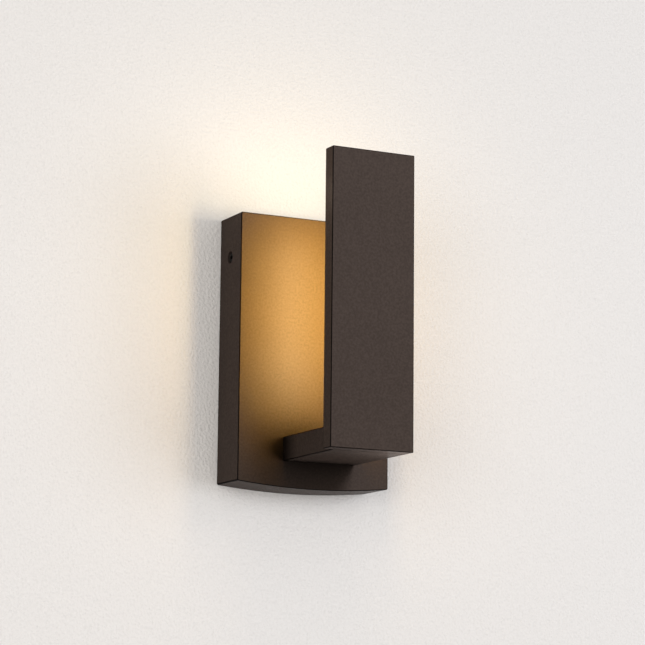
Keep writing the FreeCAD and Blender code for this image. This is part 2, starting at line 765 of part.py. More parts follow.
def make_driver_case():
    """The driver's moulded case, open toward the wall, with a ledge for its board and a fixing tab at each end."""
    body = driver_body("driver_case")
    block = new_sketch(body, "block", "sizes.driver_lid_thickness")
    draw_centred_rectangle(block, "places.driver_half_width", "places.driver_half_height")
    grow(body, block, "sizes.driver_depth - sizes.driver_lid_thickness")
    round_edges(body, "sizes.driver_corner_round", runs_out)
    seat = new_sketch(body, "board_seat", "sizes.driver_lid_thickness")
    draw_centred_rectangle(seat, "places.driver_seat_half_width", "places.driver_seat_half_height")
    cut(body, seat, "places.driver_board_seat - sizes.driver_lid_thickness")
    well = new_sketch(body, "well", "places.driver_board_face")
    narrow = "places.driver_seat_half_width - sizes.driver_ledge"
    draw_centred_rectangle(well, narrow, "places.driver_seat_half_height - sizes.driver_ledge")
    cut(body, well, "places.driver_floor - places.driver_board_face")
    tabs = new_sketch(body, "tabs", "places.driver_tab_start")
    holes = new_sketch(body, "tab_holes", "places.driver_tab_start")
    for _, sign in SIDES:
        inner = signed(sign, "places.driver_half_height - sizes.driver_wall / 2")
        outer = signed(sign, "places.driver_half_height + sizes.driver_tab_reach")
        low, high = sorted((inner, outer), key=worth)
        draw_rectangle(tabs, "-sizes.driver_tab_width / 2", "sizes.driver_tab_width / 2", low, high)
        along = signed(sign, "places.driver_screw_along")
        draw_circle(holes, "0", along, "sizes.driver_screw_radius + sizes.lead_hole_clearance")
    grow(body, tabs, "sizes.driver_tab_thickness")
    cut(body, holes, "sizes.driver_tab_thickness + sizes.overrun")
    lead_holes = new_sketch(body, "lead_holes", "places.driver_seat_half_height - sizes.overrun", "XY_Plane")
    lead_radius = "sizes.lead_radius + sizes.lead_hole_clearance"
    for _, sign in SIDES:
        draw_circle(lead_holes, signed(sign, "sizes.terminal_pitch"), "-sizes.driver_depth / 2", lead_radius)
    cut(body, lead_holes, "sizes.driver_wall + 2 * sizes.overrun")
    low_holes = new_sketch(body, "led_lead_holes", "sizes.overrun - places.driver_seat_half_height", "XY_Plane")
    for across in led_lead_spots():
        draw_circle(low_holes, across, "-sizes.driver_depth / 2", lead_radius)
    cut(body, low_holes, "sizes.driver_wall + 2 * sizes.overrun", reverse=True)
    return finish_body(body)


def led_lead_spots():
    """Where the two LED leads run side by side, in line with the middle of the arm."""
    return [f"places.arm_across + {signed(sign, 'sizes.lead_spacing / 2')}" for _, sign in SIDES]


def make_driver_board():
    """The driver's circuit board on the ledge inside the case."""
    body = driver_body("driver_board")
    outline = new_sketch(body, "outline", "places.driver_board_face")
    fit = "sizes.driver_fit"
    draw_centred_rectangle(outline, f"places.driver_seat_half_width - {fit}", f"places.driver_seat_half_height - {fit}")
    grow(body, outline, "sizes.driver_board_thickness")
    return finish_body(body)


def make_driver_parts():
    """The coil and the capacitors on the driver's board."""
    body = driver_body("driver_parts")
    coil = new_sketch(body, "coil", "places.driver_board_face - sizes.coil_height")
    draw_circle(coil, "0", "0", "sizes.coil_radius")
    draw_circle(coil, "0", "0", "sizes.coil_radius / 2")
    grow(body, coil, "sizes.coil_height")
    cans = new_sketch(body, "capacitors", "places.driver_board_face - sizes.capacitor_height")
    for _, sign in SIDES:
        draw_circle(cans, "0", signed(sign, "sizes.driver_parts_pitch"), "sizes.capacitor_radius")
    grow(body, cans, "sizes.capacitor_height")
    return finish_body(body)


def make_driver_lid():
    """The driver's snap lid, with a lip inside the case."""
    body = driver_body("driver_lid")
    lid = new_sketch(body, "lid")
    draw_centred_rectangle(lid, "places.driver_half_width", "places.driver_half_height")
    grow(body, lid, "sizes.driver_lid_thickness")
    round_edges(body, "sizes.driver_corner_round", runs_out)
    lip = new_sketch(body, "lip", "sizes.driver_lid_thickness")
    for step in ("sizes.driver_fit", "sizes.driver_fit + sizes.driver_wall"):
        half_width = f"places.driver_seat_half_width - ({step})"
        draw_centred_rectangle(lip, half_width, f"places.driver_seat_half_height - ({step})")
    grow(body, lip, "sizes.driver_lid_lip")
    return finish_body(body)


def make_driver_screws():
    """The screws that hold the driver's tabs on the canopy's bosses."""
    out = "places.driver_rear + places.driver_tab_start - sizes.driver_head_height"
    spots = [("0", signed(sign, "places.driver_screw_along")) for _, sign in SIDES]
    head = ("sizes.driver_head_radius", "sizes.driver_head_height")
    socket = ("sizes.driver_socket_radius", "sizes.driver_socket_depth")
    return make_screws(
        "driver_screws", spots, out, head, "sizes.driver_screw_radius", "sizes.driver_screw_length", socket,
        up="sizes.driver_lift",
    )


TERMINAL_POLES = (-1, 0, 1)


def make_terminal_block():
    """The supply terminal block, with wire holes below and above and a screw for each pole."""
    body = new_body("terminal_block", out="places.terminal_rear", up="places.terminal_low")
    block = new_sketch(body, "block")
    draw_rectangle(block, "-places.terminal_half_width", "places.terminal_half_width", "0", "sizes.terminal_height")
    grow(body, block, "sizes.terminal_depth")
    round_edges(body, "sizes.terminal_round", runs_out)
    wells = new_sketch(body, "screw_wells")
    low = new_sketch(body, "lead_holes", "0", "XY_Plane")
    high = new_sketch(body, "supply_holes", "sizes.terminal_height", "XY_Plane")
    for pole in TERMINAL_POLES:
        across = signed(pole, "sizes.terminal_pitch")
        screw_radius = "sizes.terminal_screw_radius + sizes.thread_clearance"
        draw_circle(wells, across, "sizes.terminal_height / 2", screw_radius)
        draw_circle(low, across, "-sizes.terminal_depth / 2", "sizes.terminal_wire_radius")
        draw_circle(high, across, "-sizes.terminal_depth / 2", "sizes.terminal_wire_radius")
    cut(body, wells, "sizes.terminal_screw_length")
    cut(body, low, "sizes.terminal_wire_reach")
    cut(body, high, "sizes.terminal_wire_reach", reverse=True)
    return finish_body(body)


def make_terminal_screws():
    """The clamping screws of the terminal block, without heads."""
    body = new_body("terminal_screws", out="places.terminal_rear", up="places.terminal_low")
    shanks = new_sketch(body, "shanks", "sizes.overrun")
    sockets = new_sketch(body, "sockets", "sizes.overrun")
    for pole in TERMINAL_POLES:
        across = signed(pole, "sizes.terminal_pitch")
        draw_circle(shanks, across, "sizes.terminal_height / 2", "sizes.terminal_screw_radius")
        draw_hexagon(sockets, across, "sizes.terminal_height / 2", "sizes.terminal_socket_radius")
    grow(body, shanks, "sizes.terminal_screw_length - sizes.overrun")
    cut(body, sockets, "sizes.overrun")
    return finish_body(body)


def make_arm():
    """The extruded tube between canopy and panel, with a bolt channel on a web at each side of its wire way."""
    body = new_body("arm", "places.arm_across", "sizes.canopy_depth", "places.arm_up")
    outline = new_sketch(body, "outline")
    draw_centred_rectangle(outline, "places.arm_side", "places.arm_top")
    grow(body, outline, "places.arm_length")
    round_edges(body, "sizes.arm_edge_round", runs_out)
    hollow = new_sketch(body, "hollow")
    draw_centred_rectangle(hollow, "places.arm_side - sizes.arm_wall", "places.arm_top - sizes.arm_wall")
    cut(body, hollow, "places.arm_length + sizes.overrun")
    webs = new_sketch(body, "webs")
    channels = new_sketch(body, "channels")
    bores = new_sketch(body, "bores")
    for _, sign in SIDES:
        middle = signed(sign, "places.bolt_offset")
        rise = "places.arm_top - sizes.arm_wall / 2"
        draw_rectangle(
            webs, f"{middle} - sizes.arm_web / 2", f"{middle} + sizes.arm_web / 2", f"-({rise})", rise,
        )
        draw_circle(channels, middle, "0", "sizes.bolt_channel_radius")
        draw_circle(bores, middle, "0", "sizes.bolt_hole_radius")
    grow(body, webs, "places.arm_length")
    grow(body, channels, "places.arm_length")
    cut(body, bores, "places.arm_length + sizes.overrun")
    return finish_body(body)


def make_arm_gasket():
    """The rubber frame that seals the arm's end on the canopy."""
    body = new_body("arm_gasket")
    frame = new_sketch(body, "frame", "sizes.canopy_depth - sizes.arm_gasket_thickness")
    draw_gasket_frame(frame, "sizes.arm_gasket_inset", "0")
    grow(body, frame, "sizes.arm_gasket_thickness")
    return finish_body(body)


def make_tie_bolts():
    """The long socket bolts that clamp canopy, arm, rear cover and panel together."""
    head = ("sizes.bolt_head_radius", "sizes.bolt_head_height")
    socket = ("sizes.bolt_socket_radius", "sizes.bolt_socket_depth")
    return make_screws(
        "tie_bolts", bolt_spots(), "places.bolt_seat - sizes.bolt_head_height", head, "sizes.bolt_radius",
        "places.bolt_length", socket,
    )


def make_tie_washers():
    """The washers under the tie bolts' heads."""
    return make_ring_pad(
        "tie_washers", "0", "places.bolt_seat", "sizes.washer_thickness",
        lambda sketch: draw_bolt_circles(sketch, "sizes.washer_radius"),
        lambda sketch: draw_bolt_circles(sketch, "sizes.bolt_hole_radius"),
    )


def make_grommet(label, flange_start, neck_start, neck_length):
    """A rubber lining for the leads' hole in a wall: a neck in the hole and a flange on one side of the wall."""
    body = new_body(label, "places.arm_across", "0", "places.arm_up")
    neck_radius = "sizes.grommet_radius - sizes.gasket_clearance"
    flange = new_sketch(body, "flange", flange_start)
    draw_circle(flange, "0", "0", f"{neck_radius} + sizes.grommet_flange")
    draw_circle(flange, "0", "0", "sizes.grommet_bore_radius")
    grow(body, flange, "sizes.grommet_flange_thickness")
    neck = new_sketch(body, "neck", neck_start)
    draw_circle(neck, "0", "0", neck_radius)
    draw_circle(neck, "0", "0", "sizes.grommet_bore_radius")
    grow(body, neck, neck_length)
    return finish_body(body)


def panel_body(label):
    """Start a piece of the panel: its origin is on the panel's rear face, at the middle of the lower edge."""
    return new_body(label, out="places.panel_rear", up="-sizes.panel_drop")


def make_panel_shell():
    """The cast front panel: a tray with a rebate for the rear cover, a seat for the lens and a cavity for the board."""
    body = panel_body("panel_shell")
    block = new_sketch(body, "block")
    draw_rectangle(block, "-places.panel_side", "places.panel_side", "0", "sizes.panel_height")
    grow(body, block, "sizes.panel_depth")
    front = lies_at_out("sizes.panel_depth")
    round_edges(body, "sizes.panel_edge_round", lambda box, edge: runs_out(box, edge) or front(box, edge))

    rebate = new_sketch(body, "cover_rebate")
    side = "(places.cover_side + sizes.cover_clearance)"
    low = "places.cover_low - sizes.cover_clearance"
    draw_rectangle(rebate, f"-{side}", side, low, "places.cover_high + sizes.cover_clearance")
    cut(body, rebate, "sizes.cover_thickness")
    round_edges(body, "sizes.cover_corner_round", in_rebate_corner)

    seat = new_sketch(body, "lens_seat", "sizes.cover_thickness")
    side = "(places.flange_side + sizes.lens_seat_clearance)"
    low = "places.flange_low - sizes.lens_seat_clearance"
    draw_rectangle(seat, f"-{side}", side, low, "places.flange_high + sizes.lens_seat_clearance")
    cut(body, seat, "places.lens_flange_end - sizes.cover_thickness")
    cavity = new_sketch(body, "led_cavity", "places.lens_flange_end")
    draw_rectangle(cavity, "-places.cavity_side", "places.cavity_side", "places.cavity_low", "places.cavity_high")
    cut(body, cavity, "places.panel_inside - places.lens_flange_end")
    channel = new_sketch(body, "lead_channel", "sizes.cover_thickness")
    half = "sizes.lead_channel_width / 2"
    low = "sizes.arm_wall"
    draw_rectangle(
        channel, f"places.arm_across - {half}", f"places.arm_across + {half}", low,
        "places.cavity_low + sizes.overrun",
    )
    cut(body, channel, "places.panel_inside - sizes.cover_thickness")

    taps = new_sketch(body, "cover_taps", "sizes.cover_thickness")
    for across, along in cover_screw_spots():
        draw_circle(taps, across, along, "sizes.cover_screw_radius + sizes.thread_clearance")
    cut(body, taps, "sizes.cover_screw_length - sizes.cover_thickness + sizes.bolt_tip_gap")
    bolts = new_sketch(body, "bolt_taps", "sizes.cover_thickness")
    draw_panel_bolts(bolts, "sizes.bolt_radius + sizes.thread_clearance")
    cut(body, bolts, "sizes.panel_depth - sizes.panel_floor_left - sizes.cover_thickness")
    return finish_body(body)


def in_rebate_corner(box, edge):
    """An edge that runs out from the rear face for the rebate's depth, away from the panel's outside."""
    short = abs(box.YLength - worth("sizes.cover_thickness")) < TOUCH
    inside = abs(box.XMin) < worth("places.panel_side - sizes.panel_lip / 2")
    return runs_out(box, edge) and short and inside


def cover_screw_spots():
    """Where the rear cover's screws are, seen from the panel's origin."""
    rows = ("sizes.cover_screw_low", "places.cover_screw_top")
    return [(signed(sign, "places.cover_screw_across"), row) for row in rows for _, sign in SIDES]


def draw_panel_bolts(sketch, radius):
    """Draw the tie bolts' circles, seen from the panel's origin."""
    for _, sign in SIDES:
        across = f"places.arm_across + {signed(sign, 'places.bolt_offset')}"
        draw_circle(sketch, across, "places.arm_top", radius)


def draw_window(sketch, clearance="0"):
    side = f"(places.window_side - {clearance})"
    draw_rectangle(
        sketch, f"-{side}", side, f"sizes.window_low + {clearance}", f"places.window_high - {clearance}",
    )


def make_rear_cover():
    """The plate in the panel's rear, with the lens window, sunk screws and the way through for bolts and leads."""
    body = panel_body("rear_cover")
    outline = new_sketch(body, "outline")
    draw_rectangle(outline, "-places.cover_side", "places.cover_side", "places.cover_low", "places.cover_high")
    grow(body, outline, "sizes.cover_thickness")
    round_edges(body, "sizes.cover_corner_round", runs_out)
    window = new_sketch(body, "window")
    draw_window(window)
    cut(body, window)
    side = worth("places.window_side")
    round_edges(
        body, "sizes.window_round",
        lambda box, edge: runs_out(box, edge) and abs(abs(box.XMin) - side) < TOUCH,
    )
    holes = new_sketch(body, "holes")
    for across, along in cover_screw_spots():
        draw_circle(holes, across, along, "sizes.cover_hole_radius")
    draw_panel_bolts(holes, "sizes.bolt_hole_radius")
    draw_circle(holes, "places.arm_across", "places.arm_top", "sizes.grommet_radius")
    cut(body, holes)
    rear = lies_at_out("0")
    hole = 2 * worth("sizes.cover_hole_radius")
    sink = "places.cover_head_height + sizes.cover_screw_radius + sizes.thread_clearance - sizes.cover_hole_radius"
    chamfer_edges(body, sink, lambda box, edge: rear(box, edge) and abs(box.XLength - hole) < TOUCH)
    return finish_body(body)


def make_cover_screws():
    """The sunk socket screws that hold the rear cover."""
    head = ("sizes.cover_head_radius", "places.cover_head_height")
    socket = ("sizes.cover_socket_radius", "sizes.cover_socket_depth")
    return make_screws(
        "cover_screws", cover_screw_spots(), "places.panel_rear", head, "sizes.cover_screw_radius",
        "sizes.cover_screw_length - places.cover_head_height", socket, up="-sizes.panel_drop",
        sunk="places.cover_sink",
    )


def make_lens_gasket():
    """The silicone frame between the rear cover and the lens flange."""
    body = panel_body("lens_gasket")
    frame = new_sketch(body, "frame", "sizes.cover_thickness")
    draw_window(frame)
    draw_window(frame, "-sizes.lens_gasket_width")
    grow(body, frame, "sizes.lens_gasket_thickness")
    return finish_body(body)


def make_diffuser_lens():
    """The opal lens: a flange behind the cover and a raised window flush with the cover's face."""
    body = panel_body("diffuser_lens")
    window = new_sketch(body, "window")
    draw_window(window, "sizes.window_clearance")
    grow(body, window, "places.lens_gasket_end")
    round_edges(body, "sizes.window_round - sizes.window_clearance", runs_out)
    flange = new_sketch(body, "flange", "places.lens_gasket_end")
    draw_rectangle(
        flange, "-places.flange_side", "places.flange_side", "places.flange_low", "places.flange_high",
    )
    grow(body, flange, "sizes.lens_flange_thickness")
    return finish_body(body)


def make_led_board():
    """The metal-cored board that carries the chips."""
    body = panel_body("led_board")
    outline = new_sketch(body, "outline", "places.board_rear")
    draw_rectangle(outline, "-places.board_side", "places.board_side", "places.board_low", "places.board_high")
    grow(body, outline, "sizes.led_board_thickness")
    return finish_body(body)


def make_thermal_tape():
    """The sticky heat-conducting tape between the board and the panel."""
    body = panel_body("thermal_tape")
    outline = new_sketch(body, "outline", "places.board_rear + sizes.led_board_thickness")
    inset = "sizes.thermal_tape_inset"
    draw_rectangle(
        outline, f"{inset} - places.board_side", f"places.board_side - {inset}",
        f"places.board_low + {inset}", f"places.board_high - {inset}",
    )
    grow(body, outline, "sizes.thermal_tape_thickness")
    return finish_body(body)


def make_led_chips():
    """Two columns of chips on the board's rear face, made as one row and repeated up the board."""
    body = panel_body("led_chips")
    row = new_sketch(body, "row", "places.board_rear - sizes.chip_thickness")
    for _, sign in SIDES:
        middle = signed(sign, "sizes.chip_column_offset")
        draw_rectangle(
            row, f"{middle} - sizes.chip_width / 2", f"{middle} + sizes.chip_width / 2",
            "places.chip_low", "places.chip_low + sizes.chip_height",
        )
    first = grow(body, row, "sizes.chip_thickness")
    pattern = body.newObject("PartDesign::LinearPattern", "led_chips_rows")
    pattern.Originals = [first]
    pattern.Direction = (row, ["V_Axis"])
    pattern.setExpression("Length", "places.chip_rise")
    pattern.setExpression("Occurrences", "sizes.chip_count")
    body.Tip = pattern
    return finish_body(body)


def make_led_connector():
    """The plug-in connector at the lower end of the board, with a hole for each lead."""
    body = panel_body("led_connector")
    block = new_sketch(body, "block", "places.board_rear - sizes.connector_thickness")
    half = "sizes.connector_width / 2"
    draw_rectangle(
        block, f"places.arm_across - {half}", f"places.arm_across + {half}",
        "places.connector_low", "places.connector_low + sizes.connector_height",
    )
    grow(body, block, "sizes.connector_thickness")
    holes = new_sketch(body, "lead_holes", "places.connector_low", "XY_Plane")
    for across in led_lead_spots():
        depth = "-(places.board_rear - sizes.connector_thickness / 2)"
        draw_circle(holes, across, depth, "sizes.lead_radius + sizes.thread_clearance")
    cut(body, holes, "sizes.connector_height / 2")
    return finish_body(body)


def make_lead(label, points, rooms):
    """A round lead through points given as (across, out, up), with the free length beside each corner as rooms."""
    places_on_way = [FreeCAD.Vector(across, -out, up) for across, out, up in points]
    edges = []
    start = places_on_way[0]
    tightest = math.inf
    for before, corner, after, room in zip(places_on_way, places_on_way[1:], places_on_way[2:], rooms):
        arriving, leaving = corner - before, after - corner
        turn = arriving.getAngle(leaving)
        reach = LEAD_BEND_SHARE * room
        radius = reach / math.tan(turn / 2)
        arriving.normalize()
        leaving.normalize()
        first, last = corner - arriving * reach, corner + leaving * reach
        inward = leaving - arriving
        inward.normalize()
        middle = corner + inward * (radius / math.cos(turn / 2) - radius)
        edges.append(Part.LineSegment(start, first).toShape())
        edges.append(Part.Arc(first, middle, last).toShape())
        start = last
        tightest = min(tightest, radius)
    edges.append(Part.LineSegment(start, places_on_way[-1]).toShape())
    path = Part.Wire(edges)
    radius = worth("sizes.lead_radius")
    circle = Part.makeCircle(radius, places_on_way[0], places_on_way[1] - places_on_way[0])
    lead = doc.addObject("Part::Feature", label)
    lead.Label = label
    lead.Shape = path.makePipeShell([Part.Wire([circle])], True, False)
    lead.Placement = FreeCAD.Placement()
    expected = math.pi * radius ** 2 * path.Length
    print(f"{label}: {path.Length:.1f} long, tightest bend {tightest:.1f}, volume share {lead.Shape.Volume / expected:.4f}")
    finished.append(lead)
    return lead


def make_supply_leads():
    """The two short leads from the driver up to the terminal block."""
    start_up = worth("sizes.driver_lift + places.driver_seat_half_height")
    end_up = worth("places.terminal_low + sizes.terminal_wire_reach / 2")
    rise = end_up - start_up
    pitch = worth("sizes.terminal_pitch")
    low_out, high_out = worth("places.driver_lead_out"), worth("places.terminal_wire_out")
    for label, side in (("line_lead", -1), ("neutral_lead", 1)):
        points = [
            (side * pitch, low_out, start_up),
            (side * pitch, low_out, start_up + rise / 3),
            (side * pitch, high_out, end_up - rise / 3),
            (side * pitch, high_out, end_up),
        ]
        make_lead(label, points, [rise / 6, rise / 6])


def make_led_leads():
    """The two leads from the driver through the arm to the connector on the board, side by side."""
    start_up = worth("sizes.driver_lift - places.driver_seat_half_height")
    start_out = worth("places.driver_lead_out")
    arm_up = worth("places.arm_up")
    end_out = worth("places.panel_rear + places.board_rear - sizes.connector_thickness / 2")
    end_up = worth("places.connector_low + sizes.connector_height / 2 - sizes.panel_drop")
    room_at_canopy = worth("places.front_inside - sizes.grommet_flange_thickness - places.driver_lead_out")
    room_at_panel = end_out - worth("places.panel_rear + sizes.cover_thickness + sizes.grommet_flange_thickness")
    for label, spot_across in zip(("led_lead_black", "led_lead_red"), led_lead_spots()):
        across = worth(spot_across)
        points = [
            (across, start_out, start_up),
            (across, start_out, arm_up),
            (across, end_out, arm_up),
            (across, end_out, end_up),
        ]
        make_lead(label, points, [room_at_canopy, room_at_panel])


def check_document():
    """Stop if any object failed to compute or any sub-part has no sound shape."""
    for thing in doc.Objects:
        for word in ("Invalid", "Error"):
            if word in thing.State:
                raise RuntimeError(f"{thing.Name} is in state {thing.State}")
    for part in finished:
        if part.Shape.isNull() or not part.Shape.isValid():
            raise RuntimeError(f"{part.Label} has no valid shape")


make_canopy()
make_wall_gasket()
make_mounting_plate()
make_clinch_nuts()
for side_name, side_sign in SIDES:
    make_side_screw(side_name, side_sign)
    make_screw_seal(side_name, side_sign)
make_earth_screw()
make_driver_case()
make_driver_board()
make_driver_parts()
make_driver_lid()
make_driver_screws()
make_terminal_block()
make_terminal_screws()
make_arm()
make_arm_gasket()
make_tie_bolts()
make_tie_washers()
make_grommet(
    "canopy_grommet", "places.front_inside - sizes.grommet_flange_thickness", "places.front_inside",
    "sizes.canopy_front_wall",
)
make_grommet(
    "cover_grommet", "places.panel_rear + sizes.cover_thickness", "places.panel_rear", "sizes.cover_thickness",
)
make_panel_shell()
make_rear_cover()
make_cover_screws()
make_lens_gasket()
make_diffuser_lens()
make_led_board()
make_thermal_tape()
make_led_chips()
make_led_connector()
make_supply_leads()
make_led_leads()

doc.recompute()
check_document()
os.makedirs("parts", exist_ok=True)
for part in finished:
    part.Shape.exportStep(f"parts/{part.Label}.step")
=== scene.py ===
"""Outdoor wall light on a pale wall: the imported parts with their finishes, glow, wall and studio light."""
import math
from typing import NamedTuple

import bmesh
import bpy
from mathutils import Matrix, Vector


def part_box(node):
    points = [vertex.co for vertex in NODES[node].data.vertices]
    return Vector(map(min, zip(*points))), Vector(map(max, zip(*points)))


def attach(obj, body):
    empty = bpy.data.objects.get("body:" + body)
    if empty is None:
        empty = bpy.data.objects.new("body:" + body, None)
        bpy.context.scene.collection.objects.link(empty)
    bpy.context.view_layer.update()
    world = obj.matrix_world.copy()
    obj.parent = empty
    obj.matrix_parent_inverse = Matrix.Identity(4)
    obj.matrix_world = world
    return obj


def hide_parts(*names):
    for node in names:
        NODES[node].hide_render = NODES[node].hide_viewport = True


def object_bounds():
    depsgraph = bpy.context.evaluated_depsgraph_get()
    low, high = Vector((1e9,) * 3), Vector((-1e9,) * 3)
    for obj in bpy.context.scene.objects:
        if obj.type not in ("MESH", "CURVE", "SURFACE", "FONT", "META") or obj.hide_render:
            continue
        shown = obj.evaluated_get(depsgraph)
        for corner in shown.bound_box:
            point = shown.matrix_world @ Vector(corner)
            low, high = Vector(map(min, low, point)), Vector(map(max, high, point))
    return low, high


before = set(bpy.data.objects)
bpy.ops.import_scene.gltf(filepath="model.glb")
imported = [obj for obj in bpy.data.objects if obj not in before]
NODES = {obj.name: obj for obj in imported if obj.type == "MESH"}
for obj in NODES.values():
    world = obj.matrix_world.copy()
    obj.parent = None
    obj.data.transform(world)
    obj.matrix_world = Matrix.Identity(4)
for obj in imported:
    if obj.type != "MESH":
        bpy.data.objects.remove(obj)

CAD_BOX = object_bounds()
MM = 0.001
# The layer's red marks the edges that the bronze paint darkens as painted shade, its green the screw recesses kept
# clear of painted corner shade.
EDGE_MARK = "rounded_edge"  # the colour layer that mark_edges writes and the bronze paint reads


# Node helpers

# Sockets of a Mix node that mixes colours
MIX_FACTOR, MIX_FIRST, MIX_SECOND, MIX_RESULT = 0, 6, 7, 2


def new_material(name):
    """Start an empty node material and return it with its tree and output node."""
    material = bpy.data.materials.new(name)
    material.use_nodes = True
    tree = material.node_tree
    tree.nodes.clear()
    return material, tree, tree.nodes.new("ShaderNodeOutputMaterial")


def add_node(tree, kind, inputs=None, **settings):
    """Add a node, set its properties and fill its inputs: a socket is linked, anything else is a value."""
    node = tree.nodes.new(kind)
    for name, value in settings.items():
        setattr(node, name, value)
    for name, value in (inputs or {}).items():
        if isinstance(value, bpy.types.NodeSocket):
            tree.links.new(value, node.inputs[name])
        else:
            node.inputs[name].default_value = value
    return node


def object_coordinates(tree):
    """The object's own coordinates, in metres."""
    return add_node(tree, "ShaderNodeTexCoord").outputs["Object"]


def coordinate(tree, where, axis):
    """One coordinate of a vector."""
    return add_node(tree, "ShaderNodeSeparateXYZ", {"Vector": where}).outputs[axis]


def surface_normal(tree):
    """The surface's normal in the room."""
    return add_node(tree, "ShaderNodeNewGeometry").outputs["Normal"]


def noise(tree, where, scale, detail=2.0):
    """Noise from 0 to 1 whose features are about 1 / scale metres wide."""
    inputs = {"Vector": where, "Scale": scale, "Detail": detail}
    return add_node(tree, "ShaderNodeTexNoise", inputs).outputs["Fac"]


def spread(tree, value, low=0.0, high=1.0, start=0.3, end=0.7):
    """Map a value from start..end to low..high."""
    inputs = {"Value": value, "From Min": start, "From Max": end, "To Min": low, "To Max": high}
    return add_node(tree, "ShaderNodeMapRange", inputs).outputs["Result"]


def calculate(tree, operation, first, second=0.0):
    """The result of a Math node."""
    return add_node(tree, "ShaderNodeMath", {0: first, 1: second}, operation=operation).outputs[0]


def distance_from(tree, value, middle):
    """How far a value is from the middle, either way."""
    return calculate(tree, "ABSOLUTE", calculate(tree, "SUBTRACT", value, middle))


def blend_colours(tree, factor, first, second):
    """Mix two colours, each a socket or three numbers."""
    node = add_node(tree, "ShaderNodeMix", data_type="RGBA")
    for index, value in ((MIX_FACTOR, factor), (MIX_FIRST, first), (MIX_SECOND, second)):
        if isinstance(value, bpy.types.NodeSocket):
            tree.links.new(value, node.inputs[index])
        else:
            node.inputs[index].default_value = value if index == MIX_FACTOR else (*value, 1.0)
    return node.outputs[MIX_RESULT]


def shade(colour, share):
    """The same colour, darker or lighter by a share."""
    return tuple(channel * share for channel in colour)


def blend_shades(tree, factor, colour, first_share, second_share):
    """A colour that changes with the factor from one share of itself to another."""
    return blend_colours(tree, factor, shade(colour, first_share), shade(colour, second_share))


def bump(tree, height, distance):
    """The normal of a relief whose height of 1 stands for the distance."""
    inputs = {"Height": height, "Distance": distance, "Strength": 1.0}
    return add_node(tree, "ShaderNodeBump", inputs).outputs["Normal"]


def principled(tree, output, inputs):
    """Cover the surface with a Principled shader."""
    shader = add_node(tree, "ShaderNodeBsdfPrincipled", inputs)
    tree.links.new(shader.outputs["BSDF"], output.inputs["Surface"])


# Bronze paint

BRONZE = (0.047, 0.035, 0.0298)
# The colour of the painted shade in corners and of the painted dark lines along edges.
BRONZE_PAINTED_SHADE = (0.006, 0.0046, 0.004)
# How much of the tone is the painted shade and light of the orange peel.
PEEL_SHADING_SHARE = 0.6
GRAIN_SHARE = 0.35
# Painted shade in corners: how far it looks for other parts, its darkest share, and how it leans on the canopy's
# front.
CORNER_REACH = 36.0 * MM
CORNER_DARKEST = 0.02
LEAN_ACROSS, LEAN_UP = 0.7, 0.5


def marked_faces(tree):
    """Two masks from mark_edges: 1 on the rounded edges, which the paint darkens as painted shade, and 1 in the
    recesses of the side screws, which stay clear of painted corner shade.
    """
    mark = add_node(tree, "ShaderNodeAttribute", attribute_name=EDGE_MARK).outputs["Color"]
    parts = add_node(tree, "ShaderNodeSeparateColor", {"Color": mark}).outputs
    return parts["Red"], parts["Green"]


def normal_toward_arm(tree):
    """The direction round which the painted corner shade looks for other parts.

    It is the surface's normal. Where the surface faces the front it leans to the arm's side, and away from the
    arm's height: up above the arm and down below it. So the painted shade on the canopy's front stands for the
    arm's shadow in the glow, darkest left of the arm.
    """
    normal = surface_normal(tree)
    facing_front = calculate(tree, "MULTIPLY", coordinate(tree, normal, "Y"), -1.0)
    facing_front = calculate(tree, "MAXIMUM", facing_front, 0.0)
    arm_low, arm_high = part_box("arm")
    height = coordinate(tree, object_coordinates(tree), "Z")
    upward = spread(tree, height, low=-LEAN_UP, high=LEAN_UP, start=arm_low.z, end=arm_high.z)
    lean = add_node(tree, "ShaderNodeCombineXYZ", {"X": LEAN_ACROSS, "Z": upward}).outputs["Vector"]
    inputs = {0: lean, "Scale": facing_front}
    offset = add_node(tree, "ShaderNodeVectorMath", inputs, operation="SCALE").outputs[0]
    turned = add_node(tree, "ShaderNodeVectorMath", {0: normal, 1: offset}, operation="ADD").outputs[0]
    return add_node(tree, "ShaderNodeVectorMath", {0: turned}, operation="NORMALIZE").outputs[0]


def shaded_corners(tree):
    """Painted shade: a share of the paint's colour that falls to CORNER_DARKEST in the corners where two parts
    meet, and is 1 in the open.
    """
    inputs = {"Distance": CORNER_REACH, "Normal": normal_toward_arm(tree)}
    open_sky = add_node(tree, "ShaderNodeAmbientOcclusion", inputs, samples=32).outputs["AO"]
    return spread(tree, open_sky, low=CORNER_DARKEST, start=0.5, end=0.86)


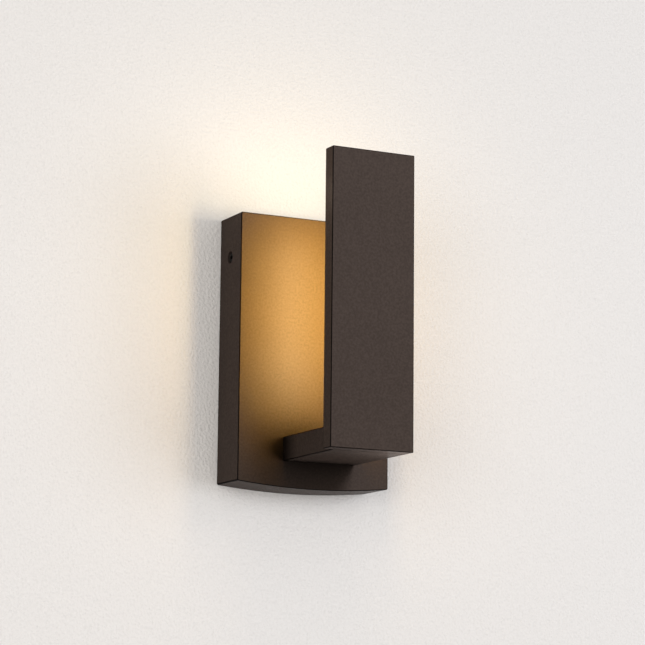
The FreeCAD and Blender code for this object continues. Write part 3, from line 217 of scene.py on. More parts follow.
def make_bronze_paint():
    """Textured dark bronze powder coat: fine grain and orange peel with painted shade and light on the peel,
    painted dark lines along edges and painted shade in corners.
    """
    material, tree, output = new_material("bronze_paint")
    where = object_coordinates(tree)
    clouds = noise(tree, where, scale=28.0, detail=3.0)
    grain = noise(tree, where, scale=2600.0)
    peel = noise(tree, where, scale=620.0, detail=1.0)
    tone = blend_shades(tree, spread(tree, clouds), BRONZE, 0.93, 1.07)
    # Painted shade and light of the orange peel: darker in its hollows, lighter on its crests.
    peel_shading = blend_shades(tree, spread(tree, peel), BRONZE, 0.8, 1.22)
    speckled = blend_colours(tree, PEEL_SHADING_SHARE, tone, peel_shading)
    # The edges get painted dark lines of shade; the recesses are kept clear of painted corner shade.
    edges, recesses = marked_faces(tree)
    # Painted shade in the corners where parts meet, kept out of the screw recesses.
    openness = calculate(tree, "MAXIMUM", shaded_corners(tree), recesses)
    colour_with_painted_shade = blend_colours(tree, openness, BRONZE_PAINTED_SHADE, speckled)
    sheen_clouds = noise(tree, where, scale=120.0, detail=1.0)
    relief = calculate(tree, "ADD", calculate(tree, "MULTIPLY", grain, GRAIN_SHARE), peel)
    upward = coordinate(tree, surface_normal(tree), "Z")
    smooth_below = spread(tree, upward, low=0.2, high=1.0, start=-0.9, end=-0.5)
    principled(tree, output, {
        # Painted dark lines of shade along the rounded edges.
        "Base Color": blend_colours(tree, edges, colour_with_painted_shade, BRONZE_PAINTED_SHADE),
        "Roughness": spread(tree, sheen_clouds, low=0.255, high=0.265),
        "IOR": 1.2,
        "Specular IOR Level": 0.02,
        "Normal": bump(tree, calculate(tree, "MULTIPLY", relief, smooth_below), 0.012 * MM),
    })
    return material


# Other finishes

PLASTIC_MOTTLE = 0.06
COIL_REACH = 10.5 * MM
COIL_FADE = 0.5 * MM
COPPER_LIGHT, COPPER_DARK = (0.42, 0.17, 0.06), (0.16, 0.05, 0.02)
SLEEVE_DARK, SLEEVE_LIGHT = (0.02, 0.022, 0.03), (0.035, 0.037, 0.045)
GLOW, GLOW_DIM = (1.0, 0.74, 0.42), (1.0, 0.6, 0.27)
LENS_STRENGTH = 1.05
LENS_DARK, LENS_LIGHT = (0.84, 0.81, 0.75), (0.88, 0.86, 0.8)
CHIP_ROWS = 12
CHIP_WIDTH, CHIP_HEIGHT = 2.8 * MM, 3.5 * MM
CHIP_GLOW = (1.0, 0.8, 0.45, 1.0)
PHOSPHOR_DARK, PHOSPHOR_LIGHT = (0.85, 0.6, 0.1), (0.9, 0.7, 0.2)
EVEN = (1.0, 1.0, 1.0)


def make_metal(name, colour, roughness, brush=EVEN, spangle=0.0):
    """Bare or plated metal: brushed along the axis with the smallest share, or spangled like galvanised sheet."""
    material, tree, output = new_material(name)
    where = object_coordinates(tree)
    stretched = add_node(tree, "ShaderNodeMapping", {"Vector": where, "Scale": brush}).outputs["Vector"]
    lines = noise(tree, stretched, scale=2400.0, detail=3.0)
    stains = noise(tree, where, scale=90.0, detail=4.0)
    tone = blend_shades(tree, spread(tree, stains), colour, 0.85, 1.1)
    rough = calculate(tree, "ADD", spread(tree, lines, low=-0.05, high=0.08), roughness)
    if spangle:
        inputs = {"Vector": where, "Scale": 220.0, "Randomness": 1.0}
        cells = add_node(tree, "ShaderNodeTexVoronoi", inputs).outputs["Color"]
        level = add_node(tree, "ShaderNodeSeparateColor", {"Color": cells}).outputs["Red"]
        tint = spread(tree, level, low=0.0, high=spangle, start=0.0, end=1.0)
        tone = blend_colours(tree, tint, tone, shade(colour, 0.6))
        rough = calculate(tree, "ADD", rough, spread(tree, level, low=-0.04, high=0.04, start=0.0, end=1.0))
    principled(tree, output, {
        "Base Color": tone,
        "Metallic": 1.0,
        "Roughness": rough,
        "Normal": bump(tree, lines, 0.006 * MM),
    })
    return material


def make_plastic(name, colour, roughness, grain=1800.0, depth=0.008):
    """Moulded plastic or rubber with a grain of a depth in millimetres and a slight change of tone."""
    material, tree, output = new_material(name)
    where = object_coordinates(tree)
    clouds = noise(tree, where, scale=70.0, detail=3.0)
    fine = noise(tree, where, scale=grain)
    principled(tree, output, {
        "Base Color": blend_shades(tree, spread(tree, clouds), colour, 1.0 - PLASTIC_MOTTLE, 1.0 + PLASTIC_MOTTLE),
        "Roughness": spread(tree, fine, low=roughness - 0.05, high=roughness + 0.07),
        "Normal": bump(tree, fine, depth * MM),
    })
    return material


def make_foam(name, colour):
    """Closed-cell foam with open pores on its cut faces, darker in the pores as painted shade."""
    material, tree, output = new_material(name)
    inputs = {"Vector": object_coordinates(tree), "Scale": 1500.0}
    pores = add_node(tree, "ShaderNodeTexVoronoi", inputs).outputs["Distance"]
    principled(tree, output, {
        # Painted shade inside the pores.
        "Base Color": blend_shades(tree, spread(tree, pores, start=0.1, end=0.6), colour, 0.4, 1.15),
        "Roughness": 0.95,
        "Normal": bump(tree, pores, 0.12 * MM),
    })
    return material


def make_circuit_board(name, mask, copper):
    """A board with a solder mask over faint tracks, and a little dust."""
    material, tree, output = new_material(name)
    where = object_coordinates(tree)
    inputs = {"Vector": where, "Scale": 210.0, "Randomness": 0.6}
    cells = add_node(tree, "ShaderNodeTexVoronoi", inputs, feature="F1", distance="MANHATTAN")
    tracks = spread(tree, cells.outputs["Distance"], start=0.42, end=0.46)
    clean = blend_colours(tree, tracks, mask, copper)
    dust = noise(tree, where, scale=900.0, detail=3.0)
    principled(tree, output, {
        "Base Color": blend_colours(tree, spread(tree, dust, high=0.15), clean, shade(mask, 1.6)),
        "Roughness": spread(tree, dust, low=0.32, high=0.45),
        "Normal": bump(tree, tracks, 0.03 * MM),
    })
    return material


def make_wound_parts():
    """Enamelled copper winding and dark sleeved capacitors, told apart by where they stand."""
    material, tree, output = new_material("driver_parts")
    where = object_coordinates(tree)
    low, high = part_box("driver_parts")
    from_middle = distance_from(tree, coordinate(tree, where, "Z"), (low.z + high.z) / 2)
    in_sleeve = spread(tree, from_middle, start=COIL_REACH, end=COIL_REACH + COIL_FADE)
    wave = {"Vector": where, "Scale": 420.0, "Distortion": 0.6}
    turns = add_node(tree, "ShaderNodeTexWave", wave).outputs["Fac"]
    copper = blend_colours(tree, turns, COPPER_LIGHT, COPPER_DARK)
    sleeve = blend_colours(tree, noise(tree, where, scale=300.0), SLEEVE_DARK, SLEEVE_LIGHT)
    principled(tree, output, {
        "Base Color": blend_colours(tree, in_sleeve, copper, sleeve),
        "Roughness": spread(tree, noise(tree, where, scale=800.0), low=0.3, high=0.45),
        "Normal": bump(tree, turns, 0.1 * MM),
    })
    return material


def chip_distance(tree, across, up):
    """How far a point of the lens is from the chip nearest to it, of two columns of evenly spaced chips."""
    low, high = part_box("led_chips")
    pitch = (high.z - low.z - CHIP_HEIGHT) / (CHIP_ROWS - 1)
    from_first = calculate(tree, "SUBTRACT", up, low.z + CHIP_HEIGHT / 2.0)
    row_gap = calculate(tree, "PINGPONG", from_first, pitch / 2.0)
    column_gap = calculate(tree, "SUBTRACT", across, high.x - CHIP_WIDTH / 2.0)
    squares = [
        calculate(tree, "POWER", calculate(tree, "ABSOLUTE", gap), 2.0) for gap in (row_gap, column_gap)
    ]
    return calculate(tree, "SQRT", calculate(tree, "ADD", *squares))


def make_opal_lens():
    """Opal plastic lit from inside, brighter over the two columns of chips and dimmer toward its frame."""
    material, tree, output = new_material("opal_lens")
    where = object_coordinates(tree)
    low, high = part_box("diffuser_lens")
    middle, reach = (low.z + high.z) / 2, (high.z - low.z) / 2
    up = coordinate(tree, where, "Z")
    across = calculate(tree, "ABSOLUTE", coordinate(tree, where, "X"))
    fade_up = spread(tree, distance_from(tree, up, middle), low=1.0, high=0.55, start=0.6 * reach, end=reach)
    fade_across = spread(tree, across, low=1.0, high=0.7, start=0.4 * high.x, end=high.x)
    haze = spread(tree, noise(tree, where, scale=45.0), low=0.95, high=1.05)
    spots = spread(tree, chip_distance(tree, across, up), low=1.18, high=0.84, start=0.5 * MM, end=7.0 * MM)
    level = calculate(tree, "MULTIPLY", fade_up, fade_across)
    level = calculate(tree, "MULTIPLY", level, calculate(tree, "MULTIPLY", spots, haze))
    dimness = spread(tree, level, low=1.0, high=0.0, start=0.4, end=1.0)
    fine = noise(tree, where, scale=1600.0)
    principled(tree, output, {
        "Base Color": blend_colours(tree, fine, LENS_DARK, LENS_LIGHT),
        "Roughness": spread(tree, fine, low=0.35, high=0.45),
        "Emission Color": blend_colours(tree, dimness, GLOW, GLOW_DIM),
        "Emission Strength": calculate(tree, "MULTIPLY", level, LENS_STRENGTH),
        "Normal": bump(tree, fine, 0.01 * MM),
    })
    return material


def make_chip_phosphor():
    """Yellow phosphor domes in pale frames, lit."""
    material, tree, output = new_material("chip_phosphor")
    specks = noise(tree, object_coordinates(tree), scale=3000.0)
    principled(tree, output, {
        "Base Color": blend_colours(tree, specks, PHOSPHOR_DARK, PHOSPHOR_LIGHT),
        "Roughness": spread(tree, specks, low=0.3, high=0.4),
        "Emission Color": CHIP_GLOW,
        "Emission Strength": spread(tree, specks, low=2.5, high=3.0),
        "Normal": bump(tree, specks, 0.01 * MM),
    })
    return material


METALS = {
    "plated_steel": {"colour": (0.62, 0.63, 0.64), "roughness": 0.36, "spangle": 0.4},
    "black_screw": {"colour": (0.012, 0.011, 0.01), "roughness": 0.5},
    "bolt_steel": {"colour": (0.5, 0.5, 0.5), "roughness": 0.3, "brush": (1.0, 0.05, 1.0)},
    "brass": {"colour": (0.72, 0.52, 0.22), "roughness": 0.3},
    "green_screw": {"colour": (0.05, 0.3, 0.11), "roughness": 0.4},
}
PLASTICS = {
    "black_rubber": {"colour": (0.02, 0.02, 0.02), "roughness": 0.62, "grain": 1200.0, "depth": 0.015},
    "silicone": {"colour": (0.5, 0.5, 0.49), "roughness": 0.5, "grain": 900.0},
    "driver_plastic": {"colour": (0.72, 0.72, 0.7), "roughness": 0.45, "grain": 1400.0, "depth": 0.02},
    "terminal_plastic": {"colour": (0.7, 0.68, 0.6), "roughness": 0.38},
    "thermal_tape": {"colour": (0.28, 0.31, 0.34), "roughness": 0.75, "grain": 700.0, "depth": 0.03},
    "red_lead": {"colour": (0.45, 0.02, 0.015), "roughness": 0.4, "grain": 1500.0},
    "black_lead": {"colour": (0.014, 0.014, 0.014), "roughness": 0.4, "grain": 1500.0},
    "white_lead": {"colour": (0.72, 0.71, 0.68), "roughness": 0.4, "grain": 1500.0},
}
BOARDS = {
    "circuit_board": {"mask": (0.012, 0.085, 0.03), "copper": (0.03, 0.15, 0.05)},
    "white_board": {"mask": (0.78, 0.78, 0.76), "copper": (0.6, 0.6, 0.57)},
}
FINISHES = {
    "bronze_paint": make_bronze_paint(),
    "grey_foam": make_foam("grey_foam", colour=(0.08, 0.08, 0.082)),
    "driver_parts": make_wound_parts(),
    "chip_phosphor": make_chip_phosphor(),
    "opal_lens": make_opal_lens(),
}
for make, looks in ((make_metal, METALS), (make_plastic, PLASTICS), (make_circuit_board, BOARDS)):
    FINISHES.update({name: make(name, **look) for name, look in looks.items()})


def slot_of(node):
    """The record's slot for a node, read from the name of the material that came with it."""
    name = node.data.materials[0].name
    return next(slot for slot in FINISHES if name.split(".")[0] == slot)


SLOTS = {}
for node_name, node in NODES.items():
    SLOTS[node_name] = slot_of(node)
    node.data.materials[0] = FINISHES[SLOTS[node_name]]


# Pieces

PIECES = {}
SHARP_ANGLE = math.radians(32.0)


def finish_piece(name, mesh, slot, body, replaced):
    """Turn a bmesh into a piece that rides on a body, with a slot's finish, in place of a CAD node."""
    bmesh.ops.recalc_face_normals(mesh, faces=mesh.faces)
    data = bpy.data.meshes.new(name)
    mesh.to_mesh(data)
    mesh.free()
    data.shade_smooth()
    data.set_sharp_from_angle(angle=SHARP_ANGLE)
    data.materials.append(FINISHES[slot])
    piece = bpy.data.objects.new(name, data)
    bpy.context.scene.collection.objects.link(piece)
    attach(piece, body)
    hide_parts(replaced)
    PIECES[name] = piece
    return piece


# Painted bodies with their edges marked for painted shade and their recesses marked to stay clear of it

FLUSH = 0.02 * MM
WELD = 0.001 * MM
SHARP_EDGE = math.radians(40.0)
FLAT = math.radians(0.5)
SLANTED = 0.985
EDGE_SEGMENTS = 3
EDGE_REACH = 4.5 * MM
RECESS_REACH = 4.9 * MM
SIDE_SCREW_MIDDLE = sum(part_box("left_side_screw"), Vector()) / 2.0
# How far each body's sharp outer edges are rounded: the arm keeps its edges
EDGE_RADIUS = {"canopy": 0.8 * MM, "panel_shell": 0.8 * MM, "arm": 0.0}


def round_edges(mesh, radius):
    """Round the sharp edges between two of the mesh's outermost flat faces."""
    points = [vertex.co.copy() for vertex in mesh.verts]
    outer = {}

    def is_outer(face):
        """Whether the whole body lies behind the face."""
        if face.index not in outer:
            start, out = face.verts[0].co, face.normal
            outer[face.index] = all((point - start).dot(out) < FLUSH for point in points)
        return outer[face.index]

    mesh.faces.index_update()
    edges = [
        edge for edge in mesh.edges
        if edge.is_manifold and edge.is_convex and edge.calc_face_angle() > SHARP_EDGE
        and all(is_outer(face) for face in edge.link_faces)
    ]
    bmesh.ops.bevel(
        mesh, geom=edges, offset=radius, segments=EDGE_SEGMENTS, profile=0.5, affect="EDGES",
        clamp_overlap=False,
    )


def is_in_recess(point):
    """Whether a point lies in or right behind the recess of a side screw."""
    return (point - SIDE_SCREW_MIDDLE).yz.length < RECESS_REACH


def is_on_edge(face, centre, low, high):
    """Whether a face is slanted and near two sides of the body's box."""
    sides_near = sum(min(centre[axis] - low[axis], high[axis] - centre[axis]) < EDGE_REACH for axis in range(3))
    return max(abs(part) for part in face.normal) < SLANTED and sides_near > 1


def mark_edges(node_name, radius):
    """The node's shape with its rounded edges marked for painted dark lines of shade and its screw recesses marked
    to stay clear of painted corner shade, in place of the node.

    Outer edges that are still sharp are rounded to the radius, unless it is nought.
    """
    node = NODES[node_name]
    low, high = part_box(node_name)
    mesh = bmesh.new()
    mesh.from_mesh(node.data)
    mesh.transform(node.matrix_world)
    mark = mesh.loops.layers.float_color.new(EDGE_MARK)
    bmesh.ops.remove_doubles(mesh, verts=mesh.verts, dist=WELD)
    bmesh.ops.dissolve_limit(mesh, angle_limit=FLAT, verts=mesh.verts, edges=mesh.edges)
    if radius:
        round_edges(mesh, radius)
    mesh.normal_update()
    for face in mesh.faces:
        centre = face.calc_center_median()
        # Red for painted dark lines of shade on the edges, green for the recesses kept clear of painted corner
        # shade.
        level = (float(is_on_edge(face, centre, low, high)), float(is_in_recess(centre)), 0.0, 1.0)
        for loop in face.loops:
            loop[mark] = level
    piece = finish_piece(f"{node_name}_rounded", mesh, SLOTS[node_name], "fixture", node_name)
    piece.modifiers.new("flat_faces", "WEIGHTED_NORMAL").keep_sharp = True


for node_name, radius in EDGE_RADIUS.items():
    mark_edges(node_name, radius)


# Threaded screws, made of rings (height, outline) along their axis: an outline gives the radius at each angle

THREAD_STEPS = 8  # rings to one turn of the thread
THREAD_DEPTH = 0.6134  # of the pitch
CREST_SHARE, ROOT_SHARE = 0.875, 0.25  # where the thread's flank starts and ends
POINT_BLUNTNESS = 0.2  # of the pitch
SOCKET_CHAMFER, SOCKET_POINT = 0.08, 0.4  # of the socket's radius
HEXAGON_TOP = 0.8  # of the head's radius
ROUND_STEPS = 4
SEAT_CHAMFER = 0.15  # of the head's rounded edge


class Screw(NamedTuple):
    """A screw's form of head ("round", "hexagon", "sunk" or "none") and its sizes in millimetres."""

    form: str
    head: float
    height: float
    edge: float
    socket: float
    socket_depth: float
    radius: float
    length: float
    grip: float
    pitch: float
    sides: int


SIDE_SCREW = Screw(
    "round", head=3.5, height=2.2, edge=0.35, socket=1.45, socket_depth=1.4,
    radius=2.0, length=10.0, grip=0.8, pitch=0.7, sides=48,
)
TIE_BOLT = Screw(
    "round", head=4.25, height=5.0, edge=0.4, socket=2.3, socket_depth=2.5,
    radius=2.5, length=93.8, grip=71.0, pitch=0.8, sides=42,
)
COVER_SCREW = Screw(
    "sunk", head=2.8, height=1.7, edge=0.15, socket=1.1, socket_depth=0.9,
    radius=1.5, length=6.5, grip=0.3, pitch=0.5, sides=30,
)
DRIVER_SCREW = Screw(
    "round", head=2.8, height=1.8, edge=0.5, socket=1.2, socket_depth=1.0,
    radius=1.5, length=6.0, grip=0.5, pitch=0.5, sides=30,
)
TERMINAL_SCREW = Screw(
    "none", head=0.0, height=0.0, edge=0.2, socket=0.9, socket_depth=1.2,
    radius=1.6, length=5.0, grip=0.2, pitch=0.5, sides=30,
)
EARTH_SCREW = Screw(
    "hexagon", head=4.2, height=2.6, edge=0.25, socket=1.5, socket_depth=1.5,
    radius=2.0, length=1.5, grip=0.2, pitch=0.7, sides=36,
)


def round_radius(radius):
    """A circle's outline."""
    return lambda turn: radius


def hexagon_radius(corner):
    """A hexagon's outline."""
    sixth = math.pi / 3.0
    return lambda turn: corner * math.cos(sixth / 2.0) / math.cos(turn % sixth - sixth / 2.0)


def thread_radius(radius, pitch, height, share):
    """A right-handed thread's outline at one height, with share of its full depth."""
    def outline(turn):
        flank = abs(2.0 * ((height / pitch - turn / (2.0 * math.pi)) % 1.0) - 1.0)
        cut = min(max((CREST_SHARE - flank) / (CREST_SHARE - ROOT_SHARE), 0.0), 1.0)
        return radius - THREAD_DEPTH * pitch * share * cut
    return outline


def socket_rings(screw, top):
    """Rings of a hexagon socket, from its pointed floor up to its countersunk mouth."""
    corner, depth = screw.socket, screw.socket_depth
    mouth = SOCKET_CHAMFER * corner
    hexagon = hexagon_radius(corner)
    return [
        (top - depth - SOCKET_POINT * corner, round_radius(0.0)),
        (top - depth, hexagon),
        (top - mouth, hexagon),
        (top, round_radius(corner + mouth)),
    ]


def head_rings(screw, top):
    """Rings of a head from its top down to its seat at zero, or to the shank of a sunk one."""
    radius, edge = screw.head, screw.edge
    if screw.form == "none":
        return [(top, round_radius(screw.radius - edge))]
    if screw.form == "hexagon":
        outline = hexagon_radius(radius)
        return [
            (top, round_radius(HEXAGON_TOP * radius)), (top - edge, hexagon_radius(radius - edge)),
            (top - 2.0 * edge, outline), (0.0, outline),
        ]
    if screw.form == "sunk":
        outline = round_radius(radius)
        return [(top, round_radius(radius - edge)), (top - edge, outline), (top - 2.0 * edge, outline)]
    rings = []
    for step in range(ROUND_STEPS + 1):
        angle = step * math.pi / (2.0 * ROUND_STEPS)
        height = top - edge * (1.0 - math.cos(angle))
        rings.append((height, round_radius(radius - edge * (1.0 - math.sin(angle)))))
    rings.append((SEAT_CHAMFER * edge, round_radius(radius)))
    rings.append((0.0, round_radius(radius - SEAT_CHAMFER * edge)))
    return rings


def shank_rings(screw, start):
    """Rings of a plain grip, the thread after it and its pointed end, downwards from start."""
    radius, pitch, grip = screw.radius, screw.pitch, screw.grip
    length = screw.length + start
    end = start - length
    root = radius - THREAD_DEPTH * pitch
    rings = [(start, round_radius(radius)), (start - grip, round_radius(radius))]
    count = int((length - grip) / pitch * THREAD_STEPS)
    for step in range(1, count):
        height = start - grip - step * (length - grip) / count
        outline = thread_radius(radius, pitch, height, min(step / THREAD_STEPS, 1.0))
        point = min(radius, root + height - end)
        rings.append((height, lambda turn, outline=outline, point=point: min(outline(turn), point)))
    rings.append((end, round_radius(root - POINT_BLUNTNESS * pitch)))
    rings.append((end, round_radius(0.0)))
    return rings


def screw_rings(screw):
    """All rings of a screw, from the floor of its socket round its head to its end."""
    top = 0.0 if screw.form in ("sunk", "none") else screw.height
    shank_start = {"none": -screw.edge, "sunk": -screw.height}.get(screw.form, 0.0)
    return socket_rings(screw, top) + head_rings(screw, top) + shank_rings(screw, shank_start)


def add_rings(mesh, rings, seat, out, sides):
    """Skin rings round the axis through seat that points out, closing both ends where the radius is zero."""
    axis = Vector(out)
    across = Vector((0.0, 0.0, 1.0))
    along = axis.cross(across)
    middle = Vector(seat)
    loops = []
    for height, outline in rings:
        centre = middle + axis * height
        if outline(0.0) == 0.0:
            loops.append([mesh.verts.new(centre)])
            continue
        loop = []
        for side in range(sides):
            turn = 2.0 * math.pi * side / sides
            reach = outline(turn)
            loop.append(mesh.verts.new(centre + (across * math.cos(turn) + along * math.sin(turn)) * reach))
        loops.append(loop)
    for upper, lower in zip(loops, loops[1:]):
        for side in range(sides):
            after = (side + 1) % sides
            if len(upper) == 1:
                mesh.faces.new((upper[0], lower[side], lower[after]))
            elif len(lower) == 1:
                mesh.faces.new((upper[side], lower[0], upper[after]))
            else:
                mesh.faces.new((upper[side], lower[side], lower[after], upper[after]))


def make_screws(node_name, body, screw, seats, out):
    """Threaded screws in place of a CAD node.

    A seat is the middle of the head's underside, or of a sunk or headless screw's top, in millimetres. The head
    faces out.
    """
    rings = screw_rings(screw)
    mesh = bmesh.new()
    for seat in seats:
        add_rings(mesh, rings, seat, out, screw.sides)
    bmesh.ops.scale(mesh, vec=(MM, MM, MM), verts=mesh.verts)
    name = node_name.replace("_screw", "_threaded_screw").replace("_bolt", "_threaded_bolt")
    finish_piece(name, mesh, SLOTS[node_name], body, node_name)


def screw_seats(node_name, radius, columns, rows, depth):
    """Where screws sit, in millimetres: spread over the node's box, whose edges they touch, at one depth."""
    low, high = (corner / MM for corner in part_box(node_name))
    left, right, bottom, top = low.x + radius, high.x - radius, low.z + radius, high.z - radius
    seats = []
    for row in range(rows):
        up = bottom + (top - bottom) * row / (rows - 1) if rows > 1 else (low.z + high.z) / 2.0
        for column in range(columns):
            across = left + (right - left) * column / (columns - 1) if columns > 1 else (low.x + high.x) / 2.0
            seats.append((across, depth, up))
    return seats


def wall_side(node_name):
    """How deep the node reaches toward the wall, in millimetres."""
    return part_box(node_name)[1].y / MM


TO_WALL, FROM_WALL = (0.0, 1.0, 0.0), (0.0, -1.0, 0.0)

for side, sign, outer in (("left", -1.0, 0), ("right", 1.0, 1)):
    middle = sum(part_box(f"{side}_side_screw"), Vector()) / 2.0 / MM
    seat = (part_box(f"{side}_screw_seal")[outer].x / MM, middle.y, middle.z)
    make_screws(f"{side}_side_screw", f"{side}_screw", SIDE_SCREW, [seat], (sign, 0.0, 0.0))

for node_name, screw, radius, columns, rows, depth in (
    ("tie_bolts", TIE_BOLT, TIE_BOLT.head, 2, 1, wall_side("tie_washers")),
    ("cover_screws", COVER_SCREW, COVER_SCREW.head, 2, 2, wall_side("cover_screws")),
    ("driver_screws", DRIVER_SCREW, DRIVER_SCREW.head, 1, 2, wall_side("driver_screws") - DRIVER_SCREW.height),
    ("terminal_screws", TERMINAL_SCREW, TERMINAL_SCREW.radius, 3, 1, wall_side("terminal_screws")),
):
    make_screws(node_name, "fixture", screw, screw_seats(node_name, radius, columns, rows, depth), TO_WALL)

earth_low, earth_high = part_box("earth_screw")
earth_seat = (
    (earth_low.x + earth_high.x) / 2.0 / MM,
    earth_low.y / MM + EARTH_SCREW.height,
    (earth_low.z + earth_high.z) / 2.0 / MM,
)
make_screws("earth_screw", "fixture", EARTH_SCREW, [earth_seat], FROM_WALL)


# Stage: a painted wall, open behind the mounting plate, and a floor well below, both clear from their far side

WALL_COLOUR = (0.816, 0.793, 0.781)
WALL_RELIEF, FLOOR_RELIEF = 0.95 * MM, 0.05 * MM
WALL_BACK = CAD_BOX[1].y
STAGE_REACH = 3.0
FLOOR_DROP = 1.6


def make_stage_material(name, relief):
    """Matt paint on plaster, with painted shade in the relief's hollows, see-through from the back."""
    material, tree, output = new_material(name)
    where = object_coordinates(tree)
    clouds = noise(tree, where, scale=3.0)
    roller = noise(tree, where, scale=480.0)
    tone = blend_shades(tree, spread(tree, clouds), WALL_COLOUR, 0.995, 1.005)
    # Painted shade: the colour is darker where the plaster's relief is low.
    painted_hollow_shade = spread(tree, roller, start=0.25, end=0.55)
    tone = blend_colours(tree, painted_hollow_shade, shade(WALL_COLOUR, 0.95), tone)
    paint = add_node(tree, "ShaderNodeBsdfDiffuse", {"Color": tone, "Normal": bump(tree, roller, relief)})
    clear = add_node(tree, "ShaderNodeBsdfTransparent")
    behind = add_node(tree, "ShaderNodeNewGeometry").outputs["Backfacing"]
    inputs = {0: behind, 1: paint.outputs[0], 2: clear.outputs[0]}
    both = add_node(tree, "ShaderNodeMixShader", inputs)
    tree.links.new(both.outputs[0], output.inputs["Surface"])
    return material


def make_sheet(name, corners, material, faces=((0, 1, 2, 3),)):
    """A flat stage piece."""
    mesh = bpy.data.meshes.new(name)
    mesh.from_pydata(corners, [], faces)
    mesh.materials.append(material)
    piece = bpy.data.objects.new(name, mesh)
    bpy.context.scene.collection.objects.link(piece)
    return piece


def wall_rectangle(left, right, bottom, top):
    """The corners of an upright rectangle in the wall's plane."""
    return [(x, WALL_BACK, z) for x, z in ((left, bottom), (right, bottom), (right, top), (left, top))]


plate_low, plate_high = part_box("mounting_plate")
wall = make_sheet(
    "wall",
    wall_rectangle(-STAGE_REACH, STAGE_REACH, -FLOOR_DROP, STAGE_REACH)
    + wall_rectangle(plate_low.x, plate_high.x, plate_low.z, plate_high.z),
    make_stage_material("wall_paint", WALL_RELIEF),
    [(0, 1, 5, 4), (1, 2, 6, 5), (2, 3, 7, 6), (3, 0, 4, 7)],
)
floor = make_sheet(
    "floor",
    [
        (-STAGE_REACH, -STAGE_REACH, -FLOOR_DROP), (STAGE_REACH, -STAGE_REACH, -FLOOR_DROP),
        (STAGE_REACH, WALL_BACK, -FLOOR_DROP), (-STAGE_REACH, WALL_BACK, -FLOOR_DROP),
    ],
    make_stage_material("floor_paint", FLOOR_RELIEF),
)
wall.visible_shadow = False


# Light: lamps at the lens throw the glow on the parts and on the wall, and studio lamps light each of them

LAMP_WHITE = (1.0, 1.0, 1.0)
PART_GLOW = (1.0, 0.56, 0.03)
CORE_GLOW = (1.04, 1.3, 1.1)
WALL_GLOW = (1.0, 0.69, 0.37)
TOP_GLOW = (1.0, 0.87, 0.445)
LEFT_WALL_LAMP = (0.985, 0.965, 0.93)
RIGHT_WALL_LAMP = (0.91, 0.962, 1.045)
KEY_LAMP = (0.97, 1.0, 1.05)
WALL_BOUNCE = (1.0, 0.8, 0.62)
CENTRE = (0.0, 0.0, 0.0)
STUDIO_TARGET = (0.0, -0.05, 0.0)
STUDIO_LAMP_SIZE = (1.2, 1.2)
TOP_GLOW_HEIGHT = 0.088
INNER_PARTS = (
    "wall_gasket", "mounting_plate", "clinch_nuts", "driver_case", "driver_lid", "terminal_block",
    "line_lead", "neutral_lead",
)
INNER_PIECES = (
    "canopy_rounded", "earth_threaded_screw", "driver_threaded_screws", "terminal_threaded_screws",
)


def collect(name, pieces):
    """A collection that a lamp lights alone."""
    group = bpy.data.collections.new(name)
    for piece in pieces:
        group.objects.link(piece)
    return group


def make_area_lamp(name, place, target, size, radiance, colour, receivers):
    """A rectangular lamp whose brightness is given as radiance, so that its power follows its size."""
    data = bpy.data.lights.new(name, "AREA")
    data.shape = "RECTANGLE"
    data.size, data.size_y = size
    data.energy = math.pi * size[0] * size[1] * radiance
    data.color = colour
    lamp = bpy.data.objects.new(name, data)
    lamp.location = place
    lamp.rotation_euler = (Vector(target) - Vector(place)).to_track_quat("-Z", "Z").to_euler()
    lamp.visible_camera = False
    bpy.context.scene.collection.objects.link(lamp)
    lamp.light_linking.receiver_collection = receivers
    return data


LENS_LIGHT_GAP = 0.4 * MM
LENS_LIGHT_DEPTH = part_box("rear_cover")[1].y + LENS_LIGHT_GAP
LENS_MIDDLE = sum(corner.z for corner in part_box("diffuser_lens")) / 2.0


def make_lens_lamp(name, across, up, size, radiance, colour, receivers):
    """An area lamp just off the lens that looks straight at the canopy."""
    place, target = (across, LENS_LIGHT_DEPTH, up), (across, 0.0, up)
    return make_area_lamp(name, place, target, size, radiance, colour, receivers)


lit_nodes = [piece for name, piece in NODES.items() if name != "diffuser_lens"]
lit_parts = collect("lit_parts", [*lit_nodes, *PIECES.values()])
lit_wall = collect("lit_wall", [wall, floor])
inner_parts = collect(
    "inner_parts", [NODES[name] for name in INNER_PARTS] + [PIECES[name] for name in INNER_PIECES],
)
part_glow = make_lens_lamp(
    "glow_on_parts", -0.007, LENS_MIDDLE + 0.001, size=(0.056, 0.136), radiance=24.0,
    colour=PART_GLOW, receivers=lit_parts,
)
part_glow.spread = math.radians(104.0)
core_glow = make_lens_lamp(
    "core_glow_on_parts", -0.019, LENS_MIDDLE - 0.01, size=(0.018, 0.12), radiance=7.0,
    colour=CORE_GLOW, receivers=lit_parts,
)
core_glow.spread = math.radians(58.0)
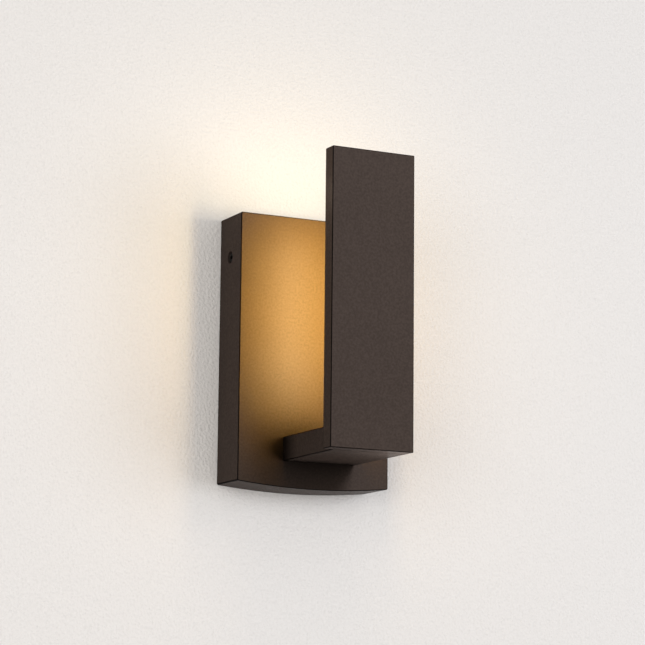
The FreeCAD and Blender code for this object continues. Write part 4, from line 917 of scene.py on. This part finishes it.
# Two lamps in one plane hide each other from the rays that the paint sends out, which would show as bands
core_glow.cycles.use_multiple_importance_sampling = False
make_lens_lamp(
    "glow_on_wall", 0.0, LENS_MIDDLE, size=(0.05, 0.152), radiance=6.0, colour=WALL_GLOW, receivers=lit_wall,
)
make_lens_lamp(
    "top_glow_on_wall", -0.008, TOP_GLOW_HEIGHT, size=(0.012, 0.038), radiance=30.5,
    colour=TOP_GLOW, receivers=lit_wall,
)
make_area_lamp(
    "left_wall_lamp", (-1.6, -2.0, 0.12), STUDIO_TARGET, STUDIO_LAMP_SIZE, radiance=5.0,
    colour=LEFT_WALL_LAMP, receivers=lit_wall,
)
make_area_lamp(
    "right_wall_lamp", (1.6, -2.0, 0.12), STUDIO_TARGET, STUDIO_LAMP_SIZE, radiance=5.5,
    colour=RIGHT_WALL_LAMP, receivers=lit_wall,
)
make_area_lamp(
    "key", (0.6, -2.0, 1.3), STUDIO_TARGET, size=(1.0, 1.0), radiance=20.8,
    colour=KEY_LAMP, receivers=lit_parts,
)
make_area_lamp(
    "back_fill", (0.9, 1.1, 0.9), CENTRE, size=(0.4, 0.4), radiance=4.0,
    colour=LAMP_WHITE, receivers=inner_parts,
)
make_area_lamp(
    "wall_bounce", (-0.12, -0.012, 0.124), (-0.033, -0.123, 0.133), size=(0.05, 0.022), radiance=31.0,
    colour=WALL_BOUNCE, receivers=collect("bounce_parts", [PIECES["panel_shell_rounded"]]),
)
make_area_lamp(
    "corner_bounce", (0.031, -0.124, -0.114), (0.0305, -0.1235, -0.084), size=(0.015, 0.015), radiance=32.0,
    colour=LAMP_WHITE,
    receivers=collect("underside_parts", [PIECES["panel_shell_rounded"], PIECES["arm_rounded"]]),
)
make_area_lamp(
    "left_fill", (-1.2, -0.4, 0.1), (-0.062, -0.02, 0.0), size=(0.5, 0.5), radiance=4.0,
    colour=LAMP_WHITE, receivers=collect("fill_parts", [PIECES["canopy_rounded"]]),
)

for node_name in ("diffuser_lens", "led_chips"):
    NODES[node_name].visible_diffuse = False
    NODES[node_name].visible_glossy = False


# Room: the light from all round, and the pale background that the camera sees instead

ROOM_LIGHT = {"Color": (1.0, 0.97, 0.915, 1.0), "Strength": 0.5}
ROOM_SEEN = {"Color": (1.0, 0.98, 0.96, 1.0), "Strength": 0.75}

world = bpy.data.worlds.new("room")
bpy.context.scene.world = world
world.use_nodes = True
room_tree = world.node_tree
room_light = room_tree.nodes["Background"]
for name, value in ROOM_LIGHT.items():
    room_light.inputs[name].default_value = value
room_seen = add_node(room_tree, "ShaderNodeBackground", ROOM_SEEN)
seen_directly = add_node(room_tree, "ShaderNodeLightPath").outputs["Is Camera Ray"]
room = add_node(room_tree, "ShaderNodeMixShader", {
    0: seen_directly, 1: room_light.outputs[0], 2: room_seen.outputs[0],
})
room_tree.links.new(room.outputs[0], room_tree.nodes["World Output"].inputs["Surface"])


# Camera, solved from the photograph's perspective

CAMERA_PLACE = (-0.80921, -1.66659, -0.29787)
CAMERA_TARGET = (0.0143625, -0.020, 0.025598)
CAMERA_ROLL = 0.5685
CAMERA_LENS = 138.130
CAMERA_SENSOR = 36.0
CAMERA_RANGE = (0.01, 50.0)


def make_camera():
    """Add the scene's camera, rolled by CAMERA_ROLL degrees about its line of sight."""
    data = bpy.data.cameras.new("photo_camera")
    data.sensor_width = CAMERA_SENSOR
    data.lens = CAMERA_LENS
    data.clip_start, data.clip_end = CAMERA_RANGE
    camera = bpy.data.objects.new("photo_camera", data)
    back = (Vector(CAMERA_PLACE) - Vector(CAMERA_TARGET)).normalized()
    right = Vector((0.0, 0.0, 1.0)).cross(back).normalized()
    up = back.cross(right)
    roll = math.radians(CAMERA_ROLL)
    turned_right = right * math.cos(roll) + up * math.sin(roll)
    turned_up = up * math.cos(roll) - right * math.sin(roll)
    axes = Matrix((turned_right, turned_up, back)).transposed().to_4x4()
    camera.matrix_world = Matrix.Translation(CAMERA_PLACE) @ axes
    bpy.context.scene.collection.objects.link(camera)
    bpy.context.scene.camera = camera


make_camera()
bpy.context.scene.view_settings.view_transform = "Standard"
